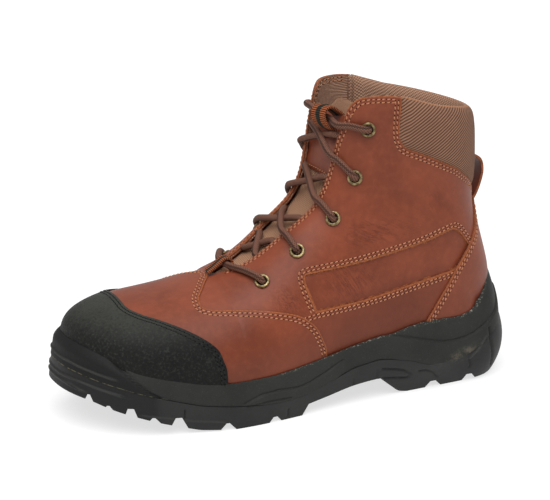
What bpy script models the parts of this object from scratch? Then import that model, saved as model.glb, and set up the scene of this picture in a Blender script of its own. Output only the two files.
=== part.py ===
"""Left safety boot for a size 42 foot: lugged sole, leather upper on the last, padded cuff, tongue and lace.

Sizes are in millimetres in the boot's own layout: x runs from the back of the heel to the toe, y to the
wearer's left, which is the outer side, and z up from the floor. Objects are made in metres about ORIGIN.
"""

import math

import bmesh
import bpy
import numpy as np

# Driving sizes
MM = 0.001
ORIGIN = np.array((146.3, -0.2, 0.0))
GAP = 0.3
WALL = 2.4
TOE_PROFILE_POWER = 0.36
TOE_PLAN_POWER = 0.8
TOE_STATION = 2.0
HEEL_STATION = 12.0
THROAT_STATION = 4.35
TOP_STATION = 19.0
THROAT_HALF_GAP = 27.0
THROAT_POWER = 0.4
SIDE_BREAK = 0.4

VAMP_STEP = 1.0
CAP_THICK = 1.3
COUNTER_THICK = 1.2
BAND_DEPTH = 0.7
BAND_FROM_Y = 8.0

CUFF_FRONT_X = 88.4
CUFF_OUT = 2.2
CUFF_IN = 8.5
LEATHER_BELOW_CUFF_TOP = 8.0
TONGUE_THICK = 6.0
INSOLE_THICK = 4.5
SEAT_DROP = 1.0

EYELET_FLANGE_R = 4.7
EYELET_HOLE_R = 2.8
EYELET_BARREL_R = 3.3
EYELET_FLANGE_H = 0.9
EYELET_SEAT = 0.5
EYELET_ROUND = 0.5
EYELET_BORE_R = 3.7
BORE_REACH = 7.0
LACE_R = 2.1
# Eyelets of each side from the lowest up: x and z in side view, and the station near them.
EYELETS = (
    (176.9, 82.2, 5.2),
    (153.8, 98.5, 6.3),
    (130.6, 116.4, 7.8),
    (116.5, 140.5, 10.0),
    (108.7, 169.8, 14.6),
)
EYELET_SHARE = 0.8
SIDES = ((1, "outer"), (-1, "inner"))
# The lowest and the highest bar of lace: how far along they cross the edges, in stations, and how far
# they sink in the middle.
BAR_LOW = (-0.58, -2.8)
BAR_TOP = (-0.6, -1.8)
# A strand comes over its own edge and ends inside the other one, at these shares of the way to the
# next eyelet.
STRAND_OVER = 0.04
STRAND_END = 0.46
STRAND_MIDDLE_SINK = -1.2
# The strands between the lowest two eyelets lie inside the throat: where they start and end, and how far
# their middle sinks.
INSIDE_START = 0.3
INSIDE_END = 0.75
INSIDE_MIDDLE_SINK = 0.2
# How far from the throat's edge, and how deep, a strand ends.
LACE_FROM_EDGE = 3.6
LACE_END_SINK = 1.0
# Straps in side view: name, half width, thickness and path.
STRAP_Y = 0.0
STRAPS = (
    (
        "throat_loop", 3.6, 1.5,
        (
            (201.2, 83.2), (197.4, 85.6), (193.8, 88.4), (191.0, 90.4), (188.4, 90.9), (186.2, 89.8),
            (185.4, 87.5), (186.3, 85.2),
        ),
    ),
    (
        "tongue_loop", 5.5, 1.5,
        ((119.6, 166.2), (125.5, 168.0), (128.2, 174.0), (124.0, 180.0), (116.0, 180.6)),
    ),
    (
        "heel_pull_loop", 7.0, 1.8,
        ((20.4, 115.5), (17.8, 121.0), (15.5, 128.5), (16.4, 135.0), (20.2, 138.5)),
    ),
)

# The last, a row for each section from the toe back to the heel and up the back seam. Each section lies in a
# plane that holds the y direction and goes from a low point to a top point. Half widths are from the ridge.
SECTION_COLUMNS = (
    "low_x", "low_z", "top_x", "top_z", "ridge_y",
    "outer", "inner", "feather_outer", "feather_inner", "widest",
)
SECTIONS = (
    (287.0, 38.5, 287.0, 69.5, -12.0, 45.0, 35.0, 41.5, 32.0, 0.34),
    (266.0, 31.5, 266.0, 71.2, -9.5, 49.0, 40.0, 45.5, 36.5, 0.32),
    (245.0, 27.0, 245.0, 73.5, -7.5, 52.0, 43.5, 48.0, 39.5, 0.30),
    (225.0, 23.0, 225.0, 76.3, -6.0, 54.5, 45.5, 50.5, 41.0, 0.29),
    (203.0, 20.5, 204.0, 80.3, -4.5, 55.0, 46.0, 51.0, 41.5, 0.29),
    (178.0, 20.8, 187.0, 85.0, -3.0, 52.0, 44.5, 48.0, 39.0, 0.30),
    (152.0, 24.0, 170.5, 94.5, -2.0, 48.5, 42.5, 43.5, 34.0, 0.32),
    (124.0, 28.5, 154.5, 107.5, -1.0, 44.5, 41.5, 39.5, 30.5, 0.35),
    (95.0, 32.0, 140.0, 120.0, 0.0, 41.5, 40.5, 36.5, 31.0, 0.38),
    (66.0, 34.5, 131.5, 134.0, 0.0, 39.5, 39.5, 35.0, 33.0, 0.40),
    (40.0, 36.0, 128.0, 147.0, 0.0, 38.5, 38.5, 31.0, 30.5, 0.42),
    (22.0, 37.0, 126.0, 156.0, 0.0, 38.0, 38.0, 21.0, 21.0, 0.43),
    (13.0, 38.0, 124.8, 162.0, 0.0, 37.5, 37.5, 0.0, 0.0, 0.44),
    (10.8, 54.0, 123.6, 166.5, 0.0, 37.0, 37.0, 0.0, 0.0, 0.45),
    (13.2, 72.0, 122.3, 171.0, 0.0, 36.5, 36.5, 0.0, 0.0, 0.46),
    (19.4, 94.0, 120.8, 176.5, 0.0, 36.0, 36.0, 0.0, 0.0, 0.47),
    (23.4, 116.0, 119.3, 182.0, 0.0, 36.5, 36.5, 0.0, 0.0, 0.48),
    (24.6, 140.0, 118.0, 187.0, 0.0, 37.0, 37.0, 0.0, 0.0, 0.48),
    (25.6, 166.0, 116.5, 194.0, 0.0, 38.0, 38.0, 0.0, 0.0, 0.48),
    (26.1, 186.0, 115.5, 203.0, 0.0, 38.5, 38.5, 0.0, 0.0, 0.48),
)

# The sole's side, a row for each place along the foot: height, and how far out from the feather line.
SOLE_COLUMNS = (
    "x", "rim_z", "rim_out", "belly_out", "part_z", "part_out", "lug_out", "foot_z", "foot_out",
)
SOLE = (
    (13.0, 69.0, 3.6, 10.0, 38.0, 12.6, 16.6, 6.0, 12.0),
    (18.0, 66.0, 3.6, 9.3, 36.0, 11.4, 14.8, 5.0, 10.0),
    (22.0, 62.5, 3.8, 8.6, 33.5, 10.8, 13.0, 2.4, 7.6),
    (26.0, 55.6, 4.0, 8.0, 30.4, 10.0, 11.4, 1.4, 5.8),
    (30.0, 50.4, 4.2, 7.6, 27.6, 9.4, 10.0, 1.1, 4.6),
    (36.0, 46.4, 4.3, 7.2, 22.8, 8.6, 7.8, 0.8, 3.0),
    (45.0, 44.3, 4.4, 6.5, 18.8, 7.2, 4.8, 0.0, 0.5),
    (58.0, 45.0, 4.3, 5.9, 17.3, 6.4, 3.0, 0.0, -0.5),
    (70.0, 45.0, 4.2, 5.5, 17.8, 6.0, 2.5, 0.0, -1.0),
    (82.0, 43.6, 4.3, 5.5, 22.4, 5.7, 2.6, 0.0, -0.5),
    (95.0, 40.4, 4.5, 5.5, 25.0, 5.5, 3.0, 0.0, 0.5),
    (104.0, 40.4, 4.7, 5.5, 26.4, 5.5, 3.8, 0.0, 2.0),
    (122.0, 37.4, 5.0, 5.7, 24.2, 5.7, 4.1, 0.0, 2.5),
    (140.0, 34.0, 5.2, 6.2, 18.4, 6.2, 5.1, 0.0, 4.0),
    (158.0, 31.0, 5.5, 6.8, 13.5, 7.0, 6.0, 0.0, 5.0),
    (178.0, 28.6, 5.5, 7.0, 12.4, 7.4, 6.5, 0.0, 5.5),
    (205.0, 28.2, 5.5, 7.0, 14.8, 7.4, 6.7, 0.0, 6.0),
    (225.0, 30.8, 5.5, 7.0, 17.8, 7.2, 5.9, 1.6, 4.5),
    (245.0, 35.4, 5.5, 7.0, 23.4, 7.2, 6.2, 7.2, 5.2),
    (258.0, 39.1, 5.6, 7.2, 27.5, 7.4, 6.6, 11.7, 5.8),
    (266.0, 41.6, 6.0, 7.6, 30.4, 7.6, 7.1, 14.6, 6.6),
    (271.0, 46.6, 6.4, 7.6, 31.9, 7.8, 7.6, 16.8, 7.4),
    (278.0, 49.3, 6.4, 7.2, 34.3, 8.0, 8.1, 20.4, 8.2),
    (283.0, 51.0, 6.2, 7.0, 36.2, 8.1, 8.4, 22.2, 8.6),
    (288.0, 52.0, 5.4, 6.6, 37.2, 8.2, 8.6, 23.8, 9.0),
)
RIB_START_X = 262.0
RIB_FULL_X = 272.0
RIB_DEPTH = 1.1
# Ribs of the toe bumper: a row for each edge, as a share of the way down the side, and whether it stands out.
MIDSOLE_LEVELS = (
    (0.0, 0.0), (0.36, 0.0), (0.64, 0.0), (0.70, 0.6), (0.76, 0.0), (1.0, 0.0),
)
OUTSOLE_LEVELS = (
    (0.0, 0.0), (0.28, 0.0), (0.34, 0.6), (0.40, 0.0), (0.72, 0.0), (1.0, 0.0),
)

# Side views of the panels' edges, as x and z, from top to bottom or front to back.
CAP_EDGE = (
    (258.0, 90.0), (257.2, 77.0), (257.1, 71.3), (256.4, 69.1), (251.2, 67.2), (242.9, 65.0), (231.8, 61.1),
    (221.5, 55.9), (214.2, 50.0), (211.5, 43.6), (209.4, 35.8), (208.0, 15.0),
)
VAMP_EDGE = (
    (198.0, 100.0), (198.2, 87.0), (198.8, 82.2), (201.0, 80.7), (205.7, 78.8), (212.1, 75.3), (214.8, 73.2),
    (215.5, 71.0), (213.5, 69.5), (206.2, 68.7), (186.4, 68.0), (172.1, 66.1), (163.3, 64.1), (157.5, 61.7),
    (152.7, 58.3), (147.9, 53.3), (143.4, 44.4), (140.6, 35.9), (139.0, 12.0),
)
COUNTER_EDGE = (
    (26.5, 114.5), (27.5, 105.0), (31.5, 97.0), (38.0, 90.0), (44.0, 83.0), (49.5, 76.2), (57.7, 63.5),
    (65.8, 51.0), (70.0, 44.0), (76.0, 25.0),
)
BAND_EDGE = (
    (147.6, 63.8), (151.1, 74.4), (152.5, 80.8), (152.7, 84.0), (150.4, 85.6), (133.0, 87.5), (111.1, 89.8),
    (89.1, 93.2), (70.3, 96.8), (57.3, 100.6), (51.2, 101.8), (47.6, 100.6), (44.0, 97.4), (36.5, 88.0),
    (47.5, 76.4), (60.8, 74.3), (70.3, 72.7), (89.8, 69.5), (112.6, 66.3), (131.5, 64.8),
)
CUFF_SEAM = ((90.5, 164.0), (85.5, 157.0), (71.0, 151.0), (48.0, 140.0), (33.0, 129.0), (23.0, 118.0))
COLLAR_TOP = ((91.0, 189.4), (66.0, 182.0), (44.0, 177.6), (22.0, 173.0))
QUARTER_TOP = ((124.0, 170.0), (119.0, 183.5), (115.5, 188.5), (108.0, 190.0), (98.0, 190.0))
# Corners outside the boot that close a panel's outline, and how far prisms reach to each side.
PAST_TOE = ((320.0, 12.0), (320.0, 100.0))
PAST_HEEL = ((-20.0, 25.0), (-20.0, 109.5))
PAST_TOP = ((0.0, 240.0), (140.0, 240.0), (140.0, 172.0))
PRISM_HALF = 90.0
# What a panel's inner form is lowered by, so that it cuts through the panel's bottom edge.
INNER_DROP = 4.0

LEATHER = ((0.26, 0.075, 0.035), 0.45)
CAP_BLACK = ((0.018, 0.018, 0.017), 0.8)
TEXTILE = ((0.13, 0.07, 0.045), 0.9)
RUBBER = ((0.022, 0.023, 0.022), 0.75)
MIDSOLE_GREY = ((0.034, 0.036, 0.033), 0.8)
LACE_BROWN = ((0.075, 0.033, 0.02), 0.8)
WEBBING = ((0.25, 0.09, 0.04), 0.85)
BRASS = ((0.36, 0.28, 0.14), 0.35)
FOOTBED = ((0.06, 0.05, 0.045), 0.95)


def spline_bends(values):
    """Second derivatives of the natural cubic through values that are one station apart."""
    count = len(values)
    system = np.eye(count)
    right = np.zeros_like(values)
    for i in range(1, count - 1):
        system[i, i - 1 : i + 2] = (1.0, 4.0, 1.0)
        right[i] = 6.0 * (values[i - 1] - 2.0 * values[i] + values[i + 1])
    return np.linalg.solve(system, right)


SECTION_ROWS = np.array(SECTIONS)
SECTION_BENDS = spline_bends(SECTION_ROWS)


def section(station):
    """The last's section at any station, as a dictionary of the table's columns."""
    low = min(int(station), len(SECTION_ROWS) - 2)
    after = station - low
    before = 1.0 - after
    row = before * SECTION_ROWS[low] + after * SECTION_ROWS[low + 1]
    row = row + (before**3 - before) / 6.0 * SECTION_BENDS[low]
    row = row + (after**3 - after) / 6.0 * SECTION_BENDS[low + 1]
    values = dict(zip(SECTION_COLUMNS, row))
    if station >= HEEL_STATION:
        values["feather_outer"] = values["feather_inner"] = 0.0
    return values


def toe_round(station):
    """How far the toe has opened out: 0 at its tip, 1 from its root on."""
    lean = max(0.0, 1.0 - station / TOE_STATION)
    return math.sqrt(max(0.0, 1.0 - lean * lean))


def throat_gap(station):
    if station <= THROAT_STATION:
        return 0.0
    return THROAT_HALF_GAP * ((station - THROAT_STATION) / (TOP_STATION - THROAT_STATION)) ** THROAT_POWER


def last_point(station, share, side):
    """A point on the last: share goes from the feather line (0) to the ridge or throat edge (1)."""
    row = section(station)
    opened = toe_round(station)
    plan = opened**TOE_PLAN_POWER
    half = (row["outer"] if side > 0 else row["inner"]) * plan
    feather = max(0.0, row["feather_outer"] if side > 0 else row["feather_inner"]) * plan
    gap = throat_gap(station)
    widest = row["widest"]
    if share < SIDE_BREAK:
        narrowing = 1.0 - (feather / half) ** 2 if half > 0.0 else 0.0
        turn = math.asin(math.sqrt(narrowing)) * (1.0 - share / SIDE_BREAK)
        rise = 1.0 - math.sin(turn) / math.sqrt(narrowing) if narrowing > 0.0 else share / SIDE_BREAK
        up = widest * rise
        out = half * math.cos(turn)
    else:
        turn = 0.5 * math.pi * (share - SIDE_BREAK) / (1.0 - SIDE_BREAK)
        up = widest + (1.0 - widest) * math.sin(turn)
        out = gap + (half - gap) * math.cos(turn)
    height = opened**TOE_PROFILE_POWER
    x = row["low_x"] + (row["top_x"] - row["low_x"]) * up
    z = row["low_z"] + (row["top_z"] - row["low_z"]) * up * height
    return np.array((x, row["ridge_y"] + side * out, z))


def last_normal(station, share, side):
    """The direction out of the last at a point."""
    step = 0.01
    ahead, behind = min(station + step, TOP_STATION), station - step
    upper, lower = min(share + step, 1.0), max(share - step, 0.0)
    along = last_point(ahead, share, side) - last_point(behind, share, side)
    across = last_point(station, upper, side) - last_point(station, lower, side)
    normal = np.cross(along, across) * side
    return normal / np.linalg.norm(normal)


def toe_stations(count):
    return [TOE_STATION * (1.0 - math.cos(0.5 * math.pi * i / count)) for i in range(count)]


THROAT_STEPS = (THROAT_STATION, THROAT_STATION + 0.06, THROAT_STATION + 0.25)
STATIONS = toe_stations(6) + [2.0, 2.6, 3.2, 3.8] + list(THROAT_STEPS) + [5.0, 5.8, 6.6, 7.4, 8.2, 9.1]
STATIONS += [10.0, 10.7, 11.3, 11.75, 12.0, 12.6, 13.5, 14.5, 15.6, 16.8, 18.0, 19.0]
SHARES = (0.0, 0.13, 0.27, 0.4, 0.52, 0.64, 0.76, 0.88, 1.0)


def shell_net():
    """The last's surface as shared points: places, their station and share, faces, and each place's index."""
    points, marks, index = [], [], {}

    def corner(side, i, j):
        station, share = STATIONS[i], SHARES[j]
        row = section(station)
        closed_top = share == 1.0 and throat_gap(station) == 0.0
        closed_low = share == 0.0 and row["feather_outer"] <= 0.0
        key = ("tip",) if station == 0.0 else (0 if closed_top or closed_low else side, i, j)
        if key not in index:
            index[key] = len(points)
            points.append(last_point(station, share, side))
            marks.append((station, share))
        return index[key]

    nets = {}
    for side in (1, -1):
        nets[side] = [[corner(side, i, j) for j in range(len(SHARES))] for i in range(len(STATIONS))]
    faces = []
    for side, net in nets.items():
        for i in range(len(STATIONS) - 1):
            for j in range(len(SHARES) - 1):
                ring = without_repeats([net[i][j], net[i + 1][j], net[i + 1][j + 1], net[i][j + 1]])
                faces += [[ring[0], ring[k], ring[k + 1]][::side] for k in range(1, len(ring) - 1)]
    return np.array(points), marks, faces, nets


def without_repeats(ring):
    """A face's corners, with each corner that comes twice in a row kept once."""
    return [corner for k, corner in enumerate(ring) if corner != ring[k - 1]]


def corner_normals(points, faces):
    normals = np.zeros_like(points)
    for face in faces:
        a, b, c = points[face]
        normals[face] += np.cross(b - a, c - a)
    return normals / np.linalg.norm(normals, axis=1)[:, None]


SHELL_POINTS, SHELL_MARKS, SHELL_FACES, SHELL_NETS = shell_net()
SHELL_NORMALS = corner_normals(SHELL_POINTS, SHELL_FACES)


def material(name, finish, metallic=0.0):
    colour, roughness = finish
    made = bpy.data.materials.new(name)
    made.use_nodes = True
    shader = made.node_tree.nodes["Principled BSDF"]
    shader.inputs["Base Color"].default_value = (*colour, 1.0)
    shader.inputs["Roughness"].default_value = roughness
    shader.inputs["Metallic"].default_value = metallic
    made.diffuse_color = (*colour, 1.0)
    return made


def make_object(name, points, faces, finish, closed=True):
    mesh = bpy.data.meshes.new(name)
    places = [tuple((np.asarray(p) - ORIGIN) * MM) for p in points]
    mesh.from_pydata(places, [], [list(map(int, face)) for face in faces])
    if closed:
        shape = bmesh.new()
        shape.from_mesh(mesh)
        bmesh.ops.recalc_face_normals(shape, faces=shape.faces)
        shape.to_mesh(mesh)
        shape.free()
    mesh.shade_smooth()
    mesh.set_sharp_from_angle(angle=math.radians(40.0))
    made = bpy.data.objects.new(name, mesh)
    bpy.context.scene.collection.objects.link(made)
    if finish is not None:
        mesh.materials.append(finish)
    return made


def as_cutter(made):
    made.hide_render = True
    made.display_type = "WIRE"
    return made


def combine(target, other, operation, solver="EXACT"):
    modifier = target.modifiers.new(other.name, "BOOLEAN")
    modifier.operation = operation
    modifier.solver = solver
    modifier.object = other


def filled_form(name, offset, drop):
    """A closed cutter: the last's surface moved out by offset(station, share), its bottom lowered by drop."""
    shift = np.array([offset(*mark) for mark in SHELL_MARKS])
    points = list(SHELL_POINTS + SHELL_NORMALS * shift[:, None])
    faces = list(SHELL_FACES)
    outer, inner = SHELL_NETS[1], SHELL_NETS[-1]
    lowered = {}

    def below(k):
        if k not in lowered:
            lowered[k] = len(points)
            points.append(points[k] - np.array((0.0, 0.0, drop)))
        return lowered[k]

    for i in range(len(STATIONS) - 1):
        low_outer, low_inner = (outer[i][0], outer[i + 1][0]), (inner[i][0], inner[i + 1][0])
        if STATIONS[i] < HEEL_STATION:
            rim_outer, rim_inner = [below(k) for k in low_outer], [below(k) for k in low_inner]
            faces.append(without_repeats([low_outer[1], low_outer[0], rim_outer[0], rim_outer[1]]))
            faces.append(without_repeats([low_inner[0], low_inner[1], rim_inner[1], rim_inner[0]]))
            faces.append(without_repeats([rim_outer[0], rim_inner[0], rim_inner[1], rim_outer[1]]))
        top = [outer[i][-1], outer[i + 1][-1], inner[i + 1][-1], inner[i][-1]]
        if top[1] != top[2]:
            faces.append(without_repeats(top))
    for j in range(len(SHARES) - 1):
        lid = [outer[-1][j], outer[-1][j + 1], inner[-1][j + 1], inner[-1][j]]
        faces.append(without_repeats(lid))
    return as_cutter(make_object(name, points, [f for f in faces if len(f) > 2], None))


def smooth_line(points, steps):
    """A smooth line through the points, with a few steps between each pair."""
    points = np.array(points, float)
    padded = np.vstack((2 * points[0] - points[1], points, 2 * points[-1] - points[-2]))
    line = []
    for i in range(1, len(padded) - 2):
        a, b, c, d = padded[i - 1 : i + 3]
        for k in range(steps):
            u = k / steps
            square, cube = 2 * a - 5 * b + 4 * c - d, 3 * b - a - 3 * c + d
            line.append(0.5 * (2 * b + (c - a) * u + square * u**2 + cube * u**3))
    line.append(padded[-2])
    return np.array(line)


def prism(name, outline, low_y, high_y):
    """A closed solid with an outline in side view, from one y to another."""
    count = len(outline)
    points = [(x, y, z) for y in (low_y, high_y) for x, z in outline]
    faces = [list(range(count)), list(range(count, 2 * count))]
    faces += [[k, (k + 1) % count, count + (k + 1) % count, count + k] for k in range(count)]
    return make_object(name, points, faces, None)


def overlay(name, outline, outer_form, inner_form, finish):
    """A panel of leather between two forms of the last, within an outline in side view."""
    made = prism(name, outline, -PRISM_HALF, PRISM_HALF)
    made.data.materials.append(finish)
    combine(made, outer_form, "INTERSECT")
    combine(made, inner_form, "DIFFERENCE")
    return made


def even(amount):
    return lambda station, share: amount


def station_at_feather(x):
    """The station whose feather point is at x along the foot."""
    low, high = 0.0, HEEL_STATION
    for _ in range(40):
        middle = 0.5 * (low + high)
        low, high = (middle, high) if section(middle)["low_x"] > x else (low, middle)
    return low


CAP_STATION = station_at_feather(CAP_EDGE[-2][0])
VAMP_STATION = station_at_feather(VAMP_EDGE[-2][0])
COUNTER_STATION = station_at_feather(COUNTER_EDGE[-2][0])
SEAT_MARGIN = 0.8


def seat_offset(station, share):
    """The room that the sole leaves for the upper and what is sewn on it."""
    room = GAP
    if station < VAMP_STATION + SEAT_MARGIN:
        room += VAMP_STEP
    if station < CAP_STATION + SEAT_MARGIN:
        room += CAP_THICK + GAP
    if station > COUNTER_STATION - SEAT_MARGIN:
        room += COUNTER_THICK + GAP
    return room


def sole_side(x):
    rows = np.array(SOLE)
    return {name: float(np.interp(x, rows[:, 0], rows[:, k])) for k, name in enumerate(SOLE_COLUMNS)}


SOLE_STATIONS = toe_stations(8) + [2.0, 2.7, 3.4, 4.1, 4.8, 5.5, 6.2, 6.9, 7.6, 8.3, 9.0, 9.6]
SOLE_STATIONS += [10.2, 10.7, 11.1, 11.45, 11.75, 11.9, 12.0]


def sole_outline():
    """The feather line around the foot, from the toe along the outer side to the heel and back again."""
    outer = [last_point(s, 0.0, 1) for s in SOLE_STATIONS]
    inner = [last_point(s, 0.0, -1) for s in SOLE_STATIONS[1:-1]]
    return np.array(outer + inner[::-1])


FEATHER = sole_outline()
PAIRED = len(SOLE_STATIONS)


def outline_normals(line):
    ahead = np.roll(line, -1, axis=0) - np.roll(line, 1, axis=0)
    normals = np.stack((ahead[:, 1], -ahead[:, 0], np.zeros(len(line))), axis=1)
    return normals / np.linalg.norm(normals, axis=1)[:, None]


FEATHER_NORMALS = outline_normals(FEATHER)


def rib_strength(x):
    return RIB_DEPTH * min(1.0, max(0.0, (x - RIB_START_X) / (RIB_FULL_X - RIB_START_X)))


def side_loop(top, low, share, rib, drop):
    """One line round the sole, part of the way down from one named height to another."""
    loop = []
    for point, normal in zip(FEATHER, FEATHER_NORMALS):
        row = sole_side(point[0])
        out = row[top + "_out"] + share * (row[low + "_out"] - row[top + "_out"])
        out += rib * rib_strength(point[0])
        half_way = row["belly_out"] if low == "part" else row["lug_out"]
        out += (half_way - 0.5 * (row[top + "_out"] + row[low + "_out"])) * 4.0 * share * (1.0 - share)
        z = row[top + "_z"] + share * (row[low + "_z"] - row[top + "_z"]) - drop
        loop.append((point[0] + normal[0] * out, point[1] + normal[1] * out, z))
    return loop


def closed_stack(name, loops, finish):
    """A solid through loops from top to bottom, its lids bridged from side to side."""
    count = len(loops[0])
    points = [p for loop in loops for p in loop]
    faces = []
    for level in range(len(loops) - 1):
        base = level * count
        for k in range(count):
            after = (k + 1) % count
            faces.append([base + k, base + after, base + count + after, base + count + k])
    for base in (0, (len(loops) - 1) * count):
        for k in range(PAIRED - 1):
            ring = [base + k, base + k + 1, base + (count - k - 1) % count, base + (count - k) % count]
            faces.append(without_repeats(ring))
    return make_object(name, points, faces, finish)


def make_midsole(finish):
    loops = [side_loop("rim", "part", share, rib, 0.0) for share, rib in MIDSOLE_LEVELS]
    midsole = closed_stack("midsole", loops, finish)
    combine(midsole, filled_form("seat_form", seat_offset, SEAT_DROP), "DIFFERENCE")
    return midsole


# The arch under the waist in side view, down to the heel's rounded breast.
ARCH_CUT = (
    (160.0, -2.0), (154.5, 6.8), (140.0, 9.0), (122.0, 12.0), (103.0, 13.2), (98.7, 10.3), (93.5, 5.9),
    (88.4, 2.0), (84.5, 0.7), (80.0, -0.2), (79.0, -2.0),
)
# Grooves between the lugs: where each meets the side, its floor's height and half width, and how much wider
# it gets for each millimetre down.
GROOVES = (
    (285.5, 24.0, 24.2, 0.8, 0.5),
    (276.8, 33.7, 18.8, 0.8, 0.9),
    (265.8, 42.0, 17.8, 2.0, 0.4),
    (253.5, 47.5, 11.9, 0.9, 0.95),
    (239.1, 51.0, 10.9, 2.0, 0.54),
    (209.0, 54.5, 4.6, 1.0, 0.95),
    (178.0, 54.0, 3.4, 1.2, 0.8),
    (62.5, 37.5, 4.2, 1.8, 0.9),
    (34.5, 32.5, 4.8, 1.8, 0.7),
)
# How far a groove runs back for each millimetre inwards.
GROOVE_SLANT = 0.42
GROOVE_FROM_MIDDLE = 7.5
GROOVE_CUTTER_DEPTH = 9.0
CHANNELS = ((168.0, 278.0), (24.0, 86.0))
CHANNEL_Y = -3.0
CHANNEL_HALF_WIDTH = 2.5
CHANNEL_FLARE = 1.5
CHANNEL_DEPTH = 4.5
CHANNEL_CUTTER_DEPTH = 12.0
CHANNEL_STEPS = 6


def ring_faces(base, width, count):
    """The faces of a closed tube of count rings, each of width corners, with both ends shut."""
    faces = []
    for k in range(count - 1):
        for m in range(width):
            here, after = base + width * k + m, base + width * k + (m + 1) % width
            faces.append([here, after, after + width, here + width])
    last = base + width * (count - 1)
    return faces + [list(range(base, base + width)), list(range(last, last + width))]


def groove_cutter(x, side_y, floor_z, floor_half, flare):
    """A wedge across each half of the tread, wider at the floor."""
    points, faces = [], []
    low_half = floor_half + flare * GROOVE_CUTTER_DEPTH
    for side in (1, -1):
        base = len(points)
        for y in (PRISM_HALF, GROOVE_FROM_MIDDLE):
            centre = x - GROOVE_SLANT * (side_y - y)
            for half, z in ((floor_half, floor_z), (low_half, floor_z - GROOVE_CUTTER_DEPTH)):
                points += [(centre + way * half, CHANNEL_Y + side * y, z) for way in (-1, 1)]
        a, b, c, d, e, f, g, h = range(base, base + 8)
        faces += [[a, b, d, c], [e, g, h, f], [a, e, f, b], [c, d, h, g], [a, c, g, e], [b, f, h, d]]
    return as_cutter(make_object("groove_cutter", points, faces, None))


def channel_cutter():
    """A long shallow channel down the middle of forefoot and heel, as one cutter."""
    points, faces = [], []
    for start, end in CHANNELS:
        base = len(points)
        for x in np.linspace(start, end, CHANNEL_STEPS):
            z = sole_side(x)["foot_z"] + CHANNEL_DEPTH
            narrow, wide = CHANNEL_HALF_WIDTH, CHANNEL_HALF_WIDTH + CHANNEL_FLARE
            for y, low in ((-narrow, 0.0), (narrow, 0.0), (wide, 1.0), (-wide, 1.0)):
                points.append((x, CHANNEL_Y + y, z - low * CHANNEL_CUTTER_DEPTH))
        faces += ring_faces(base, 4, CHANNEL_STEPS)
    return as_cutter(make_object("channel_cutter", points, faces, None))


def make_outsole(finish):
    loops = [side_loop("part", "foot", share, rib, GAP * (1.0 - share)) for share, rib in OUTSOLE_LEVELS]
    outsole = closed_stack("outsole", loops, finish)
    combine(outsole, as_cutter(prism("arch_cutter", ARCH_CUT, -PRISM_HALF, PRISM_HALF)), "DIFFERENCE")
    for groove in GROOVES:
        combine(outsole, groove_cutter(*groove), "DIFFERENCE")
    combine(outsole, channel_cutter(), "DIFFERENCE")
    return outsole


INSOLE_INSET = WALL + 1.6
INSOLE_LIFT = 0.2


def make_insole(finish):
    """A footbed that lies on the seat inside the upper."""
    line = FEATHER - FEATHER_NORMALS * INSOLE_INSET
    low = [(x, y, z + INSOLE_LIFT) for x, y, z in line]
    high = [(x, y, z + INSOLE_LIFT + INSOLE_THICK) for x, y, z in line]
    return closed_stack("insole", [high, low], finish)


def locate(x, z, side, station, share):
    """The station and share of the place with this x and z in side view, near a first guess."""
    target = np.array((x, z))
    step = 0.01
    for _ in range(30):
        here = last_point(station, share, side)[[0, 2]]
        along = (last_point(station + step, share, side)[[0, 2]] - here) / step
        across = (last_point(station, share + step, side)[[0, 2]] - here) / step
        move = np.linalg.solve(np.stack((along, across), axis=1), target - here)
        station = min(max(station + 0.6 * move[0], 0.5), TOP_STATION - 0.1)
        share = min(max(share + 0.6 * move[1], 0.02), 1.0 - 2.0 * step)
    return station, share


def eyelet_place(row, side):
    """An eyelet's centre on the leather, and the direction out of it."""
    station, share = locate(row[0], row[1], side, row[2], EYELET_SHARE)
    return last_point(station, share, side), last_normal(station, share, side)


def leather_top_outline():
    """What is cut from the shell above the quarters' top edge and the cuff, in side view."""
    front = CUFF_FRONT_X + GAP
    behind = [(x, height_on(COLLAR_TOP, x) - LEATHER_BELOW_CUFF_TOP) for x in (front, 0.0)]
    return [*smooth_line(QUARTER_TOP, 2), (front, QUARTER_TOP[-1][1]), *behind, *PAST_TOP]


def band_cutter():
    """The shallow recess of the side band, on both sides of the boot."""
    outer = prism("band_outer", BAND_EDGE, BAND_FROM_Y, PRISM_HALF)
    inner = prism("band_inner", BAND_EDGE, -PRISM_HALF, -BAND_FROM_Y)
    core = filled_form("band_floor_form", even(-BAND_DEPTH), 0.0)
    for block in (outer, inner):
        combine(as_cutter(block), core, "DIFFERENCE")
    return outer, inner


def bore_cutter(name, row, side):
    centre, out = eyelet_place(row, side)
    profile = ((EYELET_BORE_R, BORE_REACH), (EYELET_BORE_R, -BORE_REACH))
    return as_cutter(turned(name, centre, out, profile, None))


def frame_about(out):
    """Two directions square to out and to each other."""
    first = np.cross(out, (0.0, 0.0, 1.0))
    first = first / np.linalg.norm(first)
    return first, np.cross(out, first)


ROUND_SIDES = 10


def turned(name, centre, out, profile, finish, ring=False):
    """A round solid about the direction out, through radius and height pairs, or a ring."""
    first, second = frame_about(out)
    points, faces = [], []
    for radius, height in profile:
        for k in range(ROUND_SIDES):
            angle = 2.0 * math.pi * k / ROUND_SIDES
            around = math.cos(angle) * first + math.sin(angle) * second
            points.append(centre + out * height + radius * around)
    levels = len(profile)
    for level in range(levels if ring else levels - 1):
        base, over = level * ROUND_SIDES, (level + 1) % levels * ROUND_SIDES
        for k in range(ROUND_SIDES):
            after = (k + 1) % ROUND_SIDES
            faces.append([base + k, base + after, over + after, over + k])
    if not ring:
        faces += [list(range(ROUND_SIDES)), list(range((levels - 1) * ROUND_SIDES, levels * ROUND_SIDES))]
    return make_object(name, points, faces, finish)


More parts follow.
